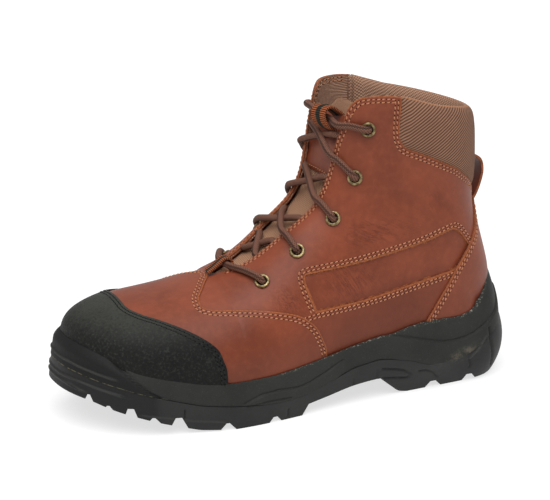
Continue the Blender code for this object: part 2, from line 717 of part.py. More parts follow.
def make_eyelet(name, row, side, finish):
    """A brass ring: a domed flange on the leather and a barrel down its hole."""
    centre, out = eyelet_place(row, side)
    top = EYELET_SEAT + EYELET_FLANGE_H
    profile = (
        (EYELET_FLANGE_R, EYELET_SEAT), (EYELET_FLANGE_R - EYELET_ROUND, top),
        (EYELET_HOLE_R + EYELET_ROUND, top), (EYELET_HOLE_R, -WALL),
        (EYELET_BARREL_R, -WALL), (EYELET_BARREL_R, EYELET_SEAT),
    )
    return turned(name, centre, out, profile, finish, ring=True)


def make_upper(finish):
    """The leather shell, open at throat, collar and bottom, with the vamp's step and the band's recess."""
    upper = make_object("upper", SHELL_POINTS, SHELL_FACES, finish, closed=False)
    wall = upper.modifiers.new("wall", "SOLIDIFY")
    wall.thickness = WALL * MM
    wall.offset = -1.0
    vamp_outline = [*VAMP_EDGE, *PAST_TOE]
    vamp_inside = filled_form("vamp_inside_form", even(-0.5 * WALL), INNER_DROP)
    vamp_outside = filled_form("vamp_form", even(VAMP_STEP), 0.0)
    vamp = overlay("vamp_step", vamp_outline, vamp_outside, vamp_inside, finish)
    combine(upper, as_cutter(vamp), "UNION", solver="MANIFOLD")
    for block in band_cutter():
        combine(upper, block, "DIFFERENCE")
    top_cutter = prism("leather_top_cutter", leather_top_outline(), -PRISM_HALF, PRISM_HALF)
    combine(upper, as_cutter(top_cutter), "DIFFERENCE")
    room = cuff_loft("cuff_room", CUFF_FRONT_X + 2.0 * GAP, CUFF_ROOM_SECTION, None)
    combine(upper, as_cutter(room), "DIFFERENCE")
    for side, word in SIDES:
        for k, row in enumerate(EYELETS):
            combine(upper, bore_cutter(f"bore_{word}_{k + 1}", row, side), "DIFFERENCE")
    return upper


def make_toe_cap(finish):
    outline = [*CAP_EDGE, *PAST_TOE]
    inside = VAMP_STEP + GAP
    outer_form = filled_form("cap_form", even(inside + CAP_THICK), 0.0)
    inner_form = filled_form("cap_inside_form", even(inside), INNER_DROP)
    return overlay("toe_cap", outline, outer_form, inner_form, finish)


def make_counter(finish):
    outline = [*COUNTER_EDGE, *PAST_HEEL]
    outer_form = filled_form("counter_form", even(GAP + COUNTER_THICK), 0.0)
    inner_form = filled_form("counter_inside_form", even(GAP), INNER_DROP)
    return overlay("counter", outline, outer_form, inner_form, finish)


def height_on(line, x):
    """The height of a side-view line at x."""
    rows = np.array(sorted(line))
    return float(np.interp(x, rows[:, 0], rows[:, 1]))


def station_under(line, share):
    """The station at which a place of this share reaches a side-view line."""
    low, high = HEEL_STATION, TOP_STATION
    for _ in range(40):
        middle = 0.5 * (low + high)
        x, _, z = last_point(middle, share, 1)
        low, high = (middle, high) if z < height_on(line, x) else (low, middle)
    return low


CUFF_STEPS = 12
# The cuff's section: a row for each edge, as a share of its height, and how far it stands out of the last.
CUFF_SECTION = (
    (0.0, -0.4), (0.05, 1.4), (0.25, CUFF_OUT), (0.7, CUFF_OUT), (0.92, 0.4), (1.0, -3.2),
    (0.93, 1.8 - CUFF_IN), (0.7, -CUFF_IN), (0.25, -CUFF_IN), (0.0, 1.0 - CUFF_IN),
)


CUFF_ROOM_SECTION = ((-0.03, 9.0), (1.0, 9.0), (1.0, -16.0), (-0.03, -16.0))
CUFF_LEVEL = 17.5


def share_at(station, x):
    """The share at which a section reaches x, in the front half of the shaft."""
    low, high = SIDE_BREAK, 1.0
    for _ in range(40):
        middle = 0.5 * (low + high)
        low, high = (middle, high) if last_point(station, middle, 1)[0] < x else (low, middle)
    return low


def cuff_loft(name, front_x, profile, finish):
    """One section carried round the back of the collar, from the seam up to the top line."""
    front = share_at(CUFF_LEVEL, front_x)
    shares = [front * (1.0 - k / CUFF_STEPS) for k in range(CUFF_STEPS + 1)]
    stops = [(share, 1) for share in shares] + [(share, -1) for share in shares[-2::-1]]
    points = []
    for share, side in stops:
        low, high = station_under(CUFF_SEAM, share), station_under(COLLAR_TOP, share)
        for up, out in profile:
            station = low + up * (high - low)
            normal = last_normal(station, share, side)
            points.append(last_point(station, share, side) + normal * out)
    return make_object(name, points, ring_faces(0, len(profile), len(stops)), finish)


# The tongue, a row for each station up the throat: half width, depth below the edges, and the middle's y.
TONGUE = (
    (4.0, 13.0, 5.2, 0.0),
    (4.7, 16.0, 5.0, 0.0),
    (5.5, 19.0, 5.0, 0.0),
    (6.5, 22.0, 5.0, 0.0),
    (7.5, 23.5, 5.4, 0.0),
    (9.0, 24.0, 5.6, 0.0),
    (11.0, 24.0, 5.6, 1.5),
    (13.5, 21.0, 6.0, 5.0),
    (15.0, 18.5, 6.4, 7.5),
    (16.0, 16.5, 6.8, 8.5),
    (16.7, 14.0, 7.2, 9.0),
    (17.0, 9.0, 7.6, 9.5),
)
TONGUE_ACROSS = 8
TONGUE_RIM_THINNING = 0.6


def throat_point(station, y, sink):
    """A point of the throat's own surface, on under the quarters too, sunk along the section."""
    row = section(station)
    gap = throat_gap(station)
    low, top = np.array((row["low_x"], row["low_z"])), np.array((row["top_x"], row["top_z"]))
    length = np.linalg.norm(top - low)
    half = row["outer"] if y > 0.0 else row["inner"]
    beyond = min(max(0.0, abs(y) - gap) / (half - gap), 0.9)
    level = math.sqrt(1.0 - beyond * beyond)
    drop = (1.0 - row["widest"]) * length
    slope = drop / (half - gap) * beyond / level
    x, z = top - (top - low) / length * (drop * (1.0 - level) + sink * math.hypot(1.0, slope))
    return np.array((x, row["ridge_y"] + y, z))


def make_tongue(finish):
    """The padded tongue: it follows the throat under the quarters' edges and is thinner at its rim."""
    points, faces = [], []
    for station, half_width, inset, middle in TONGUE:
        for k in range(TONGUE_ACROSS + 1):
            across = 2.0 * k / TONGUE_ACROSS - 1.0
            points.append(throat_point(station, middle + across * half_width, inset))
        for k in range(TONGUE_ACROSS + 1):
            across = 1.0 - 2.0 * k / TONGUE_ACROSS
            thick = TONGUE_THICK * (1.0 - TONGUE_RIM_THINNING * abs(across) ** 3)
            points.append(throat_point(station, middle + across * half_width, inset + thick))
    ring = 2 * (TONGUE_ACROSS + 1)
    for k in range(len(TONGUE) - 1):
        for m in range(ring):
            after = (m + 1) % ring
            faces.append([k * ring + m, k * ring + after, (k + 1) * ring + after, (k + 1) * ring + m])
    for base in (0, (len(TONGUE) - 1) * ring):
        for m in range(TONGUE_ACROSS):
            faces.append([base + m, base + m + 1, base + ring - 2 - m, base + ring - 1 - m])
    return make_object("tongue", points, faces, finish)


def make_strap(name, path, half_width, thick, finish):
    """A flat strap whose middle line is a path in side view, as wide across the boot as twice half_width."""
    line = smooth_line(path, 3)
    points = []
    for k, (x, z) in enumerate(line):
        ahead = line[min(k + 1, len(line) - 1)] - line[max(k - 1, 0)]
        ahead = ahead / np.linalg.norm(ahead)
        side = 0.5 * thick * np.array((-ahead[1], ahead[0]))
        for y, sign in ((-half_width, 1), (half_width, 1), (half_width, -1), (-half_width, -1)):
            points.append((x + sign * side[0], STRAP_Y + y, z + sign * side[1]))
    return make_object(name, points, ring_faces(0, 4, len(line)), finish)


LACE_SIDES = 6
LACE_STEPS = 2


def lace_tube(name, route, finish):
    """A round cord through the route's points."""
    line = smooth_line(route, LACE_STEPS)
    points = []
    for k, centre in enumerate(line):
        ahead = line[min(k + 1, len(line) - 1)] - line[max(k - 1, 0)]
        first, second = frame_about(ahead / np.linalg.norm(ahead))
        for m in range(LACE_SIDES):
            angle = 2.0 * math.pi * m / LACE_SIDES
            points.append(centre + LACE_R * (math.cos(angle) * first + math.sin(angle) * second))
    return make_object(name, points, ring_faces(0, LACE_SIDES, len(line)), finish)


LACE_OVER = LACE_R + 1.1


def over_leather(station, share, side):
    """A lace's middle where it lies over the leather."""
    return last_point(station, share, side) + last_normal(station, min(share, 0.97), side) * LACE_OVER


def out_of_eyelet(row, edge, side):
    """The start of a strand: above its eyelet, then over the leather to the throat's edge at a station."""
    station, share = locate(row[0], row[1], side, row[2], EYELET_SHARE)
    centre, out = eyelet_place(row, side)
    start = centre + out * (LACE_OVER + EYELET_SEAT + EYELET_FLANGE_H)
    halfway = over_leather(0.5 * (station + edge), 0.5 * (share + 1.0), side)
    return [start, halfway, over_leather(edge, 1.0, side)]


def edge_station(row):
    return locate(row[0], row[1], 1, row[2], EYELET_SHARE)[0]


def crossing_strand(k, side):
    """One strand from an eyelet over its own edge to just inside the other edge, an eyelet higher."""
    low, high = edge_station(EYELETS[k]), edge_station(EYELETS[k + 1])
    start, end = low + STRAND_OVER * (high - low), low + STRAND_END * (high - low)
    middle = throat_point(0.5 * (start + end), 0.0, STRAND_MIDDLE_SINK)
    far = throat_point(end, -side * (throat_gap(end) - LACE_FROM_EDGE), LACE_END_SINK)
    return [*out_of_eyelet(EYELETS[k], start, side), middle, far]


def make_lace(finish):
    """The lace's bars and crossings, each clear of the leather, the eyelets and the tongue."""
    for k in range(1, len(EYELETS) - 1):
        cross = lace_tube(f"lace_cross_{k + 1}", crossing_strand(k, 1), finish)
        other = as_cutter(lace_tube(f"lace_cross_{k + 1}_second", crossing_strand(k, -1), finish))
        combine(cross, other, "UNION")
    low, high = edge_station(EYELETS[0]), edge_station(EYELETS[1])
    inside = []
    for side in (1, -1):
        near, far = low + INSIDE_START * (high - low), low + INSIDE_END * (high - low)
        route = [
            throat_point(near, side * (throat_gap(near) - LACE_FROM_EDGE), LACE_END_SINK),
            throat_point(0.5 * (near + far), 0.0, INSIDE_MIDDLE_SINK),
            throat_point(far, -side * (throat_gap(far) - LACE_FROM_EDGE), LACE_END_SINK),
        ]
        inside.append(lace_tube(f"lace_cross_1{'_second' if side < 0 else ''}", route, finish))
    combine(inside[0], as_cutter(inside[1]), "UNION")
    for name, row, bar in (("lace_bar_1", EYELETS[0], BAR_LOW), ("lace_bar_5", EYELETS[-1], BAR_TOP)):
        bend, sink = bar
        station = edge_station(row)
        near, far = (out_of_eyelet(row, station + bend, side) for side in (1, -1))
        middle = throat_point(station + bend, 0.0, sink)
        lace_tube(name, [*near, middle, *far[::-1]], finish)


def main():
    for old in list(bpy.data.objects):
        bpy.data.objects.remove(old, do_unlink=True)
    leather = material("leather_brown", LEATHER)
    textile = material("textile_brown", TEXTILE)
    webbing = material("webbing_orange", WEBBING)
    brass = material("brass_antique", BRASS, metallic=1.0)
    make_midsole(material("midsole_grey", MIDSOLE_GREY))
    make_outsole(material("rubber_black", RUBBER))
    make_insole(material("footbed", FOOTBED))
    make_upper(leather)
    make_toe_cap(material("cap_black", CAP_BLACK))
    make_counter(leather)
    cuff_loft("collar_cuff", CUFF_FRONT_X, CUFF_SECTION, textile)
    make_tongue(textile)
    for name, half_width, thick, path in STRAPS:
        make_strap(name, path, half_width, thick, leather if name == "heel_pull_loop" else webbing)
    for side, word in SIDES:
        for k, row in enumerate(EYELETS):
            make_eyelet(f"eyelet_{word}_{k + 1}", row, side, brass)
    make_lace(material("lace_brown", LACE_BROWN))


main()
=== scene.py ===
"""Looks of the left safety shoe: leather panels on the last, padding, lace, stitches and the moulded sole.

Sizes are in millimetres in the shoe's own layout: x from the back of the heel to the toe, y to the wearer's
left, which is the outer side, and z up from the floor. Meshes are in metres about ORIGIN, as the frame is.
"""

import math

import bpy
import numpy as np
from mathutils import Matrix, Vector
from mathutils.geometry import delaunay_2d_cdt


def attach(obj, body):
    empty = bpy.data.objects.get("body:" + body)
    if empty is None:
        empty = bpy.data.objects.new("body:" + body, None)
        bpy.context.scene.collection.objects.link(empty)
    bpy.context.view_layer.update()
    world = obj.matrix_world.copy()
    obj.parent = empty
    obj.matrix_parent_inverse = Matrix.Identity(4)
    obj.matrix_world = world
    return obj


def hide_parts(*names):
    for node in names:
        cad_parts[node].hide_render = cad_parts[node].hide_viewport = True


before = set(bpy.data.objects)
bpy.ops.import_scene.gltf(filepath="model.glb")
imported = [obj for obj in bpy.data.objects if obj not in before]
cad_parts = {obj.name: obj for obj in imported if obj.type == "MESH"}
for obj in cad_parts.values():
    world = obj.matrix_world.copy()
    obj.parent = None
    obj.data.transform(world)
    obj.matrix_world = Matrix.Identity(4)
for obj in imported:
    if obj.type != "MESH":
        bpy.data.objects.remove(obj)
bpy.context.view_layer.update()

MM = 0.001
ORIGIN = np.array((146.3, -0.2, 0.0))
TOE_PROFILE_POWER = 0.36
TOE_PLAN_POWER = 0.8
TOE_STATION = 2.0
HEEL_STATION = 12.0
THROAT_STATION = 4.35
TOP_STATION = 19.0
THROAT_HALF_GAP = 27.0
THROAT_POWER = 0.4
SIDE_BREAK = 0.4

# Levels of the layers above the last's surface, and their thickness.
VAMP_LIFT = 1.0
CAP_LIFT = 2.5
COUNTER_LIFT = 1.4
BAND_LIFT = -1.1
BAND_THICK = 0.35
LINING_LIFT = -1.5
LEATHER_THICK = 1.4
LINING_THICK = 0.8
EDGE_DROP = 0.3

# The last, a row for each section from the toe back to the heel and up the back seam.
SECTION_COLUMNS = (
    "low_x", "low_z", "top_x", "top_z", "ridge_y", "outer", "inner", "feather_outer", "feather_inner",
    "widest",
)
SECTIONS = np.array((
    (287.0, 38.5, 287.0, 69.5, -12.0, 45.0, 35.0, 41.5, 32.0, 0.34),
    (266.0, 31.5, 266.0, 71.2, -9.5, 49.0, 40.0, 45.5, 36.5, 0.32),
    (245.0, 27.0, 245.0, 73.5, -7.5, 52.0, 43.5, 48.0, 39.5, 0.30),
    (225.0, 23.0, 225.0, 76.3, -6.0, 54.5, 45.5, 50.5, 41.0, 0.29),
    (203.0, 20.5, 204.0, 80.3, -4.5, 55.0, 46.0, 51.0, 41.5, 0.29),
    (178.0, 20.8, 187.0, 85.0, -3.0, 52.0, 44.5, 48.0, 39.0, 0.30),
    (152.0, 24.0, 170.5, 94.5, -2.0, 48.5, 42.5, 43.5, 34.0, 0.32),
    (124.0, 28.5, 154.5, 107.5, -1.0, 44.5, 41.5, 39.5, 30.5, 0.35),
    (95.0, 32.0, 140.0, 120.0, 0.0, 41.5, 40.5, 36.5, 31.0, 0.38),
    (66.0, 34.5, 131.5, 134.0, 0.0, 39.5, 39.5, 35.0, 33.0, 0.40),
    (40.0, 36.0, 128.0, 147.0, 0.0, 38.5, 38.5, 31.0, 30.5, 0.42),
    (22.0, 37.0, 126.0, 156.0, 0.0, 38.0, 38.0, 21.0, 21.0, 0.43),
    (13.0, 38.0, 124.8, 162.0, 0.0, 37.5, 37.5, 0.0, 0.0, 0.44),
    (10.8, 54.0, 123.6, 166.5, 0.0, 37.0, 37.0, 0.0, 0.0, 0.45),
    (13.2, 72.0, 122.3, 171.0, 0.0, 36.5, 36.5, 0.0, 0.0, 0.46),
    (19.4, 94.0, 120.8, 176.5, 0.0, 36.0, 36.0, 0.0, 0.0, 0.47),
    (23.4, 116.0, 119.3, 182.0, 0.0, 36.5, 36.5, 0.0, 0.0, 0.48),
    (24.6, 140.0, 118.0, 187.0, 0.0, 37.0, 37.0, 0.0, 0.0, 0.48),
    (25.6, 166.0, 116.5, 194.0, 0.0, 38.0, 38.0, 0.0, 0.0, 0.48),
    (26.1, 186.0, 115.5, 203.0, 0.0, 38.5, 38.5, 0.0, 0.0, 0.48),
))

# The sole's side, a row for each place along the foot: height, and how far out from the feather line.
SOLE_COLUMNS = (
    "x", "rim_z", "rim_out", "belly_out", "part_z", "part_out", "lug_out", "foot_z", "foot_out",
)
SOLE = np.array((
    (13.0, 69.0, 3.6, 10.0, 38.0, 12.6, 16.6, 6.0, 12.0),
    (18.0, 66.0, 3.6, 9.3, 36.0, 11.4, 14.8, 5.0, 10.0),
    (22.0, 62.5, 3.8, 8.6, 33.5, 10.8, 13.0, 2.4, 7.6),
    (26.0, 55.6, 4.0, 8.0, 30.4, 10.0, 11.4, 1.4, 5.8),
    (30.0, 50.4, 4.2, 7.6, 27.6, 9.4, 10.0, 1.1, 4.6),
    (36.0, 46.4, 4.3, 7.2, 22.8, 8.6, 7.8, 0.8, 3.0),
    (45.0, 44.3, 4.4, 6.5, 18.8, 7.2, 4.8, 0.0, 0.5),
    (58.0, 45.0, 4.3, 5.9, 17.3, 6.4, 3.0, 0.0, -0.5),
    (70.0, 45.0, 4.2, 5.5, 17.8, 6.0, 2.5, 0.0, -1.0),
    (82.0, 43.6, 4.3, 5.5, 22.4, 5.7, 2.6, 0.0, -0.5),
    (95.0, 40.4, 4.5, 5.5, 25.0, 5.5, 3.0, 0.0, 0.5),
    (104.0, 40.4, 4.7, 5.5, 26.4, 5.5, 3.8, 0.0, 2.0),
    (122.0, 37.4, 5.0, 5.7, 24.2, 5.7, 4.1, 0.0, 2.5),
    (140.0, 34.0, 5.2, 6.2, 18.4, 6.2, 5.1, 0.0, 4.0),
    (158.0, 31.0, 5.5, 6.8, 13.5, 7.0, 6.0, 0.0, 5.0),
    (178.0, 28.6, 5.5, 7.0, 12.4, 7.4, 6.5, 0.0, 5.5),
    (205.0, 28.2, 5.5, 7.0, 14.8, 7.4, 6.7, 0.0, 6.0),
    (225.0, 30.8, 5.5, 7.0, 17.8, 7.2, 5.9, 1.6, 4.5),
    (245.0, 35.4, 5.5, 7.0, 23.4, 7.2, 6.2, 7.2, 5.2),
    (258.0, 39.1, 5.6, 7.2, 27.5, 7.4, 6.6, 11.7, 5.8),
    (266.0, 41.6, 6.0, 7.6, 30.4, 7.6, 7.1, 14.6, 6.6),
    (271.0, 46.6, 6.4, 7.6, 31.9, 7.8, 7.6, 16.8, 7.4),
    (278.0, 49.3, 6.4, 7.2, 34.3, 8.0, 8.1, 20.4, 8.2),
    (283.0, 51.0, 6.2, 7.0, 36.2, 8.1, 9.0, 22.2, 9.8),
    (288.0, 52.0, 5.4, 6.6, 37.2, 8.2, 9.2, 23.8, 10.2),
))

# Side views of the panels' edges, as x and z, from top to bottom or front to back.
CAP_EDGE = (
    (258.0, 90.0), (257.2, 77.0), (257.1, 71.3), (256.4, 69.1), (251.2, 67.2), (242.9, 65.0), (231.8, 61.1),
    (221.5, 55.9), (214.2, 50.0), (211.5, 43.6), (209.4, 35.8), (208.0, 15.0),
)
VAMP_EDGE = (
    (198.0, 100.0), (198.2, 87.0), (198.8, 82.2), (201.0, 80.7), (205.7, 78.8), (212.1, 75.3), (214.8, 73.2),
    (215.5, 71.0), (213.5, 69.5), (206.2, 68.7), (186.4, 68.0), (172.1, 66.1), (163.3, 64.1), (157.5, 61.7),
    (152.7, 58.3), (147.9, 53.3), (143.4, 44.4), (140.6, 35.9), (139.0, 12.0),
)
COUNTER_EDGE = (
    (26.5, 114.5), (27.5, 105.0), (31.5, 97.0), (38.0, 90.0), (44.0, 83.0), (49.5, 76.2), (57.7, 63.5),
    (65.8, 51.0), (70.0, 44.0), (76.0, 25.0),
)
BAND_TOP = (
    (147.6, 63.8), (151.1, 74.4), (152.5, 80.8), (152.7, 84.0), (150.4, 85.6), (133.0, 87.5), (111.1, 89.8),
    (89.1, 93.2), (70.3, 96.8), (57.3, 100.6), (51.2, 101.8), (47.6, 100.6), (44.0, 97.4), (36.5, 88.0),
)
BAND_LOW = (
    (47.5, 76.4), (60.8, 74.3), (70.3, 72.7), (89.8, 69.5), (112.6, 66.3), (131.5, 64.8), (147.6, 63.8),
)
LOW_PANEL_FRONT = (157.2, 62.6)
CUFF_SEAM = ((90.5, 164.0), (85.5, 157.0), (71.0, 151.0), (48.0, 140.0), (33.0, 129.0), (23.0, 118.0))
COLLAR_TOP = ((91.0, 190.0), (66.0, 182.0), (44.0, 177.6), (22.0, 173.0))
CUFF_CORNER = ((80.0, 154.6), (85.0, 157.2), (88.2, 161.5), (89.3, 168.0), (89.2, 180.0), (89.0, 189.0))
QUARTER_TOP = ((89.0, 189.0), (98.0, 190.0), (108.0, 190.0), (114.0, 188.8), (117.6, 185.6), (119.2, 182.2))

# Eyelets of each side from the lowest up, as x and z in side view.
EYELETS = ((176.9, 82.2), (153.8, 98.5), (130.6, 116.4), (116.5, 140.5), (108.7, 169.8))
EYELET_HOLE_R = 2.8
EYELET_FLANGE_R = 4.7
LACE_R = 2.1
SIDES = ((1, "outer"), (-1, "inner"))


def spline_bends(values):
    """Second derivatives of the natural cubic through values that are one station apart."""
    count = len(values)
    system = np.eye(count)
    right = np.zeros_like(values)
    for i in range(1, count - 1):
        system[i, i - 1 : i + 2] = (1.0, 4.0, 1.0)
        right[i] = 6.0 * (values[i - 1] - 2.0 * values[i] + values[i + 1])
    return np.linalg.solve(system, right)


SECTION_BENDS = spline_bends(SECTIONS)


def sections(station):
    """The last's sections at any stations, as a dictionary of the table's columns."""
    low = np.clip(station.astype(int), 0, len(SECTIONS) - 2)
    after = (station - low)[..., None]
    before = 1.0 - after
    rows = before * SECTIONS[low] + after * SECTIONS[low + 1]
    rows = rows + (before**3 - before) / 6.0 * SECTION_BENDS[low]
    rows = rows + (after**3 - after) / 6.0 * SECTION_BENDS[low + 1]
    return dict(zip(SECTION_COLUMNS, np.moveaxis(rows, -1, 0)))


def throat_gap(station):
    open_share = np.maximum(0.0, station - THROAT_STATION) / (TOP_STATION - THROAT_STATION)
    return THROAT_HALF_GAP * open_share**THROAT_POWER


def last_points(station, share, side):
    """Points on the last: share goes from the feather line (0) to the ridge or throat edge (1)."""
    station, share, side = np.broadcast_arrays(*(np.asarray(v, float) for v in (station, share, side)))
    row = sections(station)
    lean = np.maximum(0.0, 1.0 - station / TOE_STATION)
    opened = np.sqrt(np.maximum(0.0, 1.0 - lean * lean))
    plan = opened**TOE_PLAN_POWER
    half = np.where(side > 0, row["outer"], row["inner"]) * plan
    feather = np.where(side > 0, row["feather_outer"], row["feather_inner"]) * plan
    feather = np.where(station >= HEEL_STATION, 0.0, np.maximum(0.0, feather))
    gap = throat_gap(station)
    narrowing = np.maximum(1.0 - (feather / np.maximum(half, 1e-9)) ** 2, 1e-9)
    turn_low = np.arcsin(np.sqrt(narrowing)) * (1.0 - share / SIDE_BREAK)
    turn_high = 0.5 * math.pi * (share - SIDE_BREAK) / (1.0 - SIDE_BREAK)
    widest = row["widest"]
    below = share < SIDE_BREAK
    up_low = widest * (1.0 - np.sin(turn_low) / np.sqrt(narrowing))
    up = np.where(below, up_low, widest + (1.0 - widest) * np.sin(turn_high))
    out = np.where(below, half * np.cos(turn_low), gap + (half - gap) * np.cos(turn_high))
    x = row["low_x"] + (row["top_x"] - row["low_x"]) * up
    z = row["low_z"] + (row["top_z"] - row["low_z"]) * up * opened**TOE_PROFILE_POWER
    return np.stack((x, row["ridge_y"] + side * out, z), axis=-1)


def tangents(station, share, side, step=0.01):
    """How the last's points move with the station and with the share."""
    station, share, side = np.broadcast_arrays(*(np.asarray(v, float) for v in (station, share, side)))
    ahead, behind = np.minimum(station + step, TOP_STATION), np.maximum(station - step, 0.0)
    upper, lower = np.minimum(share + step, 1.0), np.maximum(share - step, 0.0)
    along = last_points(ahead, share, side) - last_points(behind, share, side)
    across = last_points(station, upper, side) - last_points(station, lower, side)
    return along / (ahead - behind)[..., None], across / (upper - lower)[..., None]


def unit(vectors):
    return vectors / np.maximum(np.linalg.norm(vectors, axis=-1), 1e-12)[..., None]


def last_normals(station, share, side):
    along, across = tangents(station, share, side)
    return unit(np.cross(along, across) * np.asarray(side, float)[..., None])


def lifted(station, share, side, lift):
    """Points above the last by lift."""
    station, share, side = np.broadcast_arrays(*(np.asarray(v, float) for v in (station, share, side)))
    lift = np.broadcast_to(np.asarray(lift, float), station.shape)
    return last_points(station, share, side) + last_normals(station, share, side) * lift[..., None]


def smooth_line(points, steps):
    """A smooth line through the points, with a few steps between each pair."""
    points = np.array(points, float)
    padded = np.vstack((2 * points[0] - points[1], points, 2 * points[-1] - points[-2]))
    line = []
    for i in range(1, len(padded) - 2):
        a, b, c, d = padded[i - 1 : i + 3]
        for k in range(steps):
            u = k / steps
            square, cube = 2 * a - 5 * b + 4 * c - d, 3 * b - a - 3 * c + d
            line.append(0.5 * (2 * b + (c - a) * u + square * u**2 + cube * u**3))
    line.append(padded[-2])
    return np.array(line)


def steps_of(line):
    """The lengths of a line's steps."""
    return np.linalg.norm(np.diff(line, axis=0), axis=1)


def run_of(line):
    """How far along a line each of its points lies."""
    return np.concatenate(((0.0,), np.cumsum(steps_of(line))))


def at_places(places, run, values):
    """Values that are given along a run, at any places of it."""
    return np.stack([np.interp(places, run, values[:, k]) for k in range(values.shape[1])], axis=1)


def resampled(line, count):
    """A line with count points, evenly spaced along it."""
    line = np.asarray(line, float)
    run = run_of(line)
    return at_places(np.linspace(0.0, run[-1], count), run, line)


def soft_step(value, start, end):
    share = np.clip((np.asarray(value, float) - start) / (end - start), 0.0, 1.0)
    return share * share * (3.0 - 2.0 * share)


PLACE_STEPS = 40
PLACE_EASE = 0.4
LOOKUP_STATION, LOOKUP_SHARE = np.meshgrid(np.linspace(1.0, 18.9, 240), np.linspace(0.02, 0.98, 90))


def place(line, side):
    """The station and share of the places on the last that have these x and z in side view."""
    line = np.asarray(line, float)
    seen = last_points(LOOKUP_STATION, LOOKUP_SHARE, side)[..., [0, 2]].reshape(-1, 2)
    nearest = [int(np.argmin(((seen - spot) ** 2).sum(axis=1))) for spot in line]
    station, share = LOOKUP_STATION.ravel()[nearest], LOOKUP_SHARE.ravel()[nearest]
    for _ in range(PLACE_STEPS):
        miss = line - last_points(station, share, side)[:, [0, 2]]
        along, across = (t[:, [0, 2]] for t in tangents(station, share, np.full(len(line), side)))
        area = along[:, 0] * across[:, 1] - along[:, 1] * across[:, 0]
        area = np.where(np.abs(area) < 1.0, 1.0, area)
        station = station + PLACE_EASE * (miss[:, 0] * across[:, 1] - miss[:, 1] * across[:, 0]) / area
        share = share + PLACE_EASE * (along[:, 0] * miss[:, 1] - along[:, 1] * miss[:, 0]) / area
        station, share = np.clip(station, 0.5, TOP_STATION - 0.02), np.clip(share, 0.0, 1.0)
    return np.stack((station, share), axis=1)


def crossing(test, low, high):
    """Where test turns false between low and high, value by value."""
    low, high = np.array(low, float), np.array(high, float)
    for _ in range(40):
        middle = 0.5 * (low + high)
        holds = test(middle)
        low, high = np.where(holds, middle, low), np.where(holds, high, middle)
    return low


def edge_stations(edge, shares, side):
    """For each share, the station at which the last passes behind an edge given as x over z."""
    rows = smooth_line(edge, 8)[::-1]

    def in_front(station):
        spot = last_points(station, shares, side)
        return spot[..., 0] > np.interp(spot[..., 2], rows[:, 1], rows[:, 0])

    return crossing(in_front, np.full(shares.shape, 0.0), np.full(shares.shape, 9.0))


def counter_shares(stations, side):
    """For each station, the share up to which the counter reaches."""
    rows = smooth_line(COUNTER_EDGE, 8)[::-1]

    def behind(share):
        spot = last_points(stations, share, side)
        return spot[..., 0] < np.interp(spot[..., 2], rows[:, 1], rows[:, 0])

    return crossing(behind, np.zeros(stations.shape), np.full(stations.shape, 0.8))


def stations_under(line, shares, side=1):
    """For each share, the station at which the shaft reaches a line given as z over x."""
    rows = np.array(sorted(map(tuple, line)))

    def under(station):
        spot = last_points(station, shares, side)
        return spot[..., 2] < np.interp(spot[..., 0], rows[:, 0], rows[:, 1])

    return crossing(under, np.full(shares.shape, HEEL_STATION), np.full(shares.shape, TOP_STATION))


# Creases of the leather in side view: where, start and end, sag of the middle, half width and depth.
CREASES = (
    ("instep", 122.4, 112.8, 97.1, 102.0, 1.0, 1.5, 0.30),
    ("instep", 124.4, 109.5, 106.0, 98.4, 1.0, 1.5, 0.32),
    ("instep", 116.0, 114.0, 88.9, 101.5, 1.2, 1.9, 0.26),
    ("instep", 130.0, 107.0, 112.0, 96.0, 0.8, 1.6, 0.22),
    ("band", 135.3, 86.0, 123.4, 69.2, 1.2, 1.6, 0.24),
    ("band", 126.7, 86.0, 113.7, 69.1, 1.2, 1.7, 0.24),
    ("band", 119.0, 87.0, 104.0, 72.0, 1.0, 1.8, 0.18),
    ("band", 142.0, 84.0, 131.0, 68.0, 0.8, 1.6, 0.20),
    ("waist", 172.0, 79.0, 159.4, 64.2, 0.8, 1.5, 0.26),
    ("waist", 168.0, 80.0, 156.4, 67.6, 0.8, 1.4, 0.24),
    ("waist", 177.5, 76.5, 166.0, 67.4, 0.6, 1.7, 0.18),
    ("ankle", 66.0, 132.0, 44.0, 110.0, -4.0, 5.0, 0.30),
    ("ankle", 98.0, 134.0, 70.0, 120.0, -2.0, 5.5, 0.30),
    ("ball", 206.0, 58.0, 172.0, 45.0, 4.0, 9.0, 0.22),
    ("ball", 228.0, 66.0, 196.0, 60.0, 3.0, 9.0, 0.14),
)
# How deep the creases of the inner side are, as a share of the outer side's.
INNER_CREASES = 0.8
# Places with fine wrinkles, bumped and darkened with painted shade: the mark that they carry, the middle, the
# half sizes and the strength.
WRINKLES = (
    ("flat_wrinkle", 108.0, 106.0, 17.0, 8.0, 1.0),
    ("flat_wrinkle", 84.0, 109.0, 14.0, 8.0, 0.35),
    ("steep_wrinkle", 124.0, 78.0, 16.0, 12.0, 1.0),
    ("steep_wrinkle", 165.0, 71.0, 9.0, 8.0, 1.0),
    ("steep_wrinkle", 62.0, 122.0, 16.0, 14.0, 0.3),
)


def wrinkle_marks(points):
    """How strongly the leather is wrinkled at these points, for each mark."""
    marks = {}
    for mark, x, z, half_x, half_z, strength in WRINKLES:
        reach = ((points[:, 0] - x) / half_x) ** 2 + ((points[:, 2] - z) / half_z) ** 2
        marks[mark] = marks.get(mark, 0.0) + strength * np.exp(-reach)
    return marks


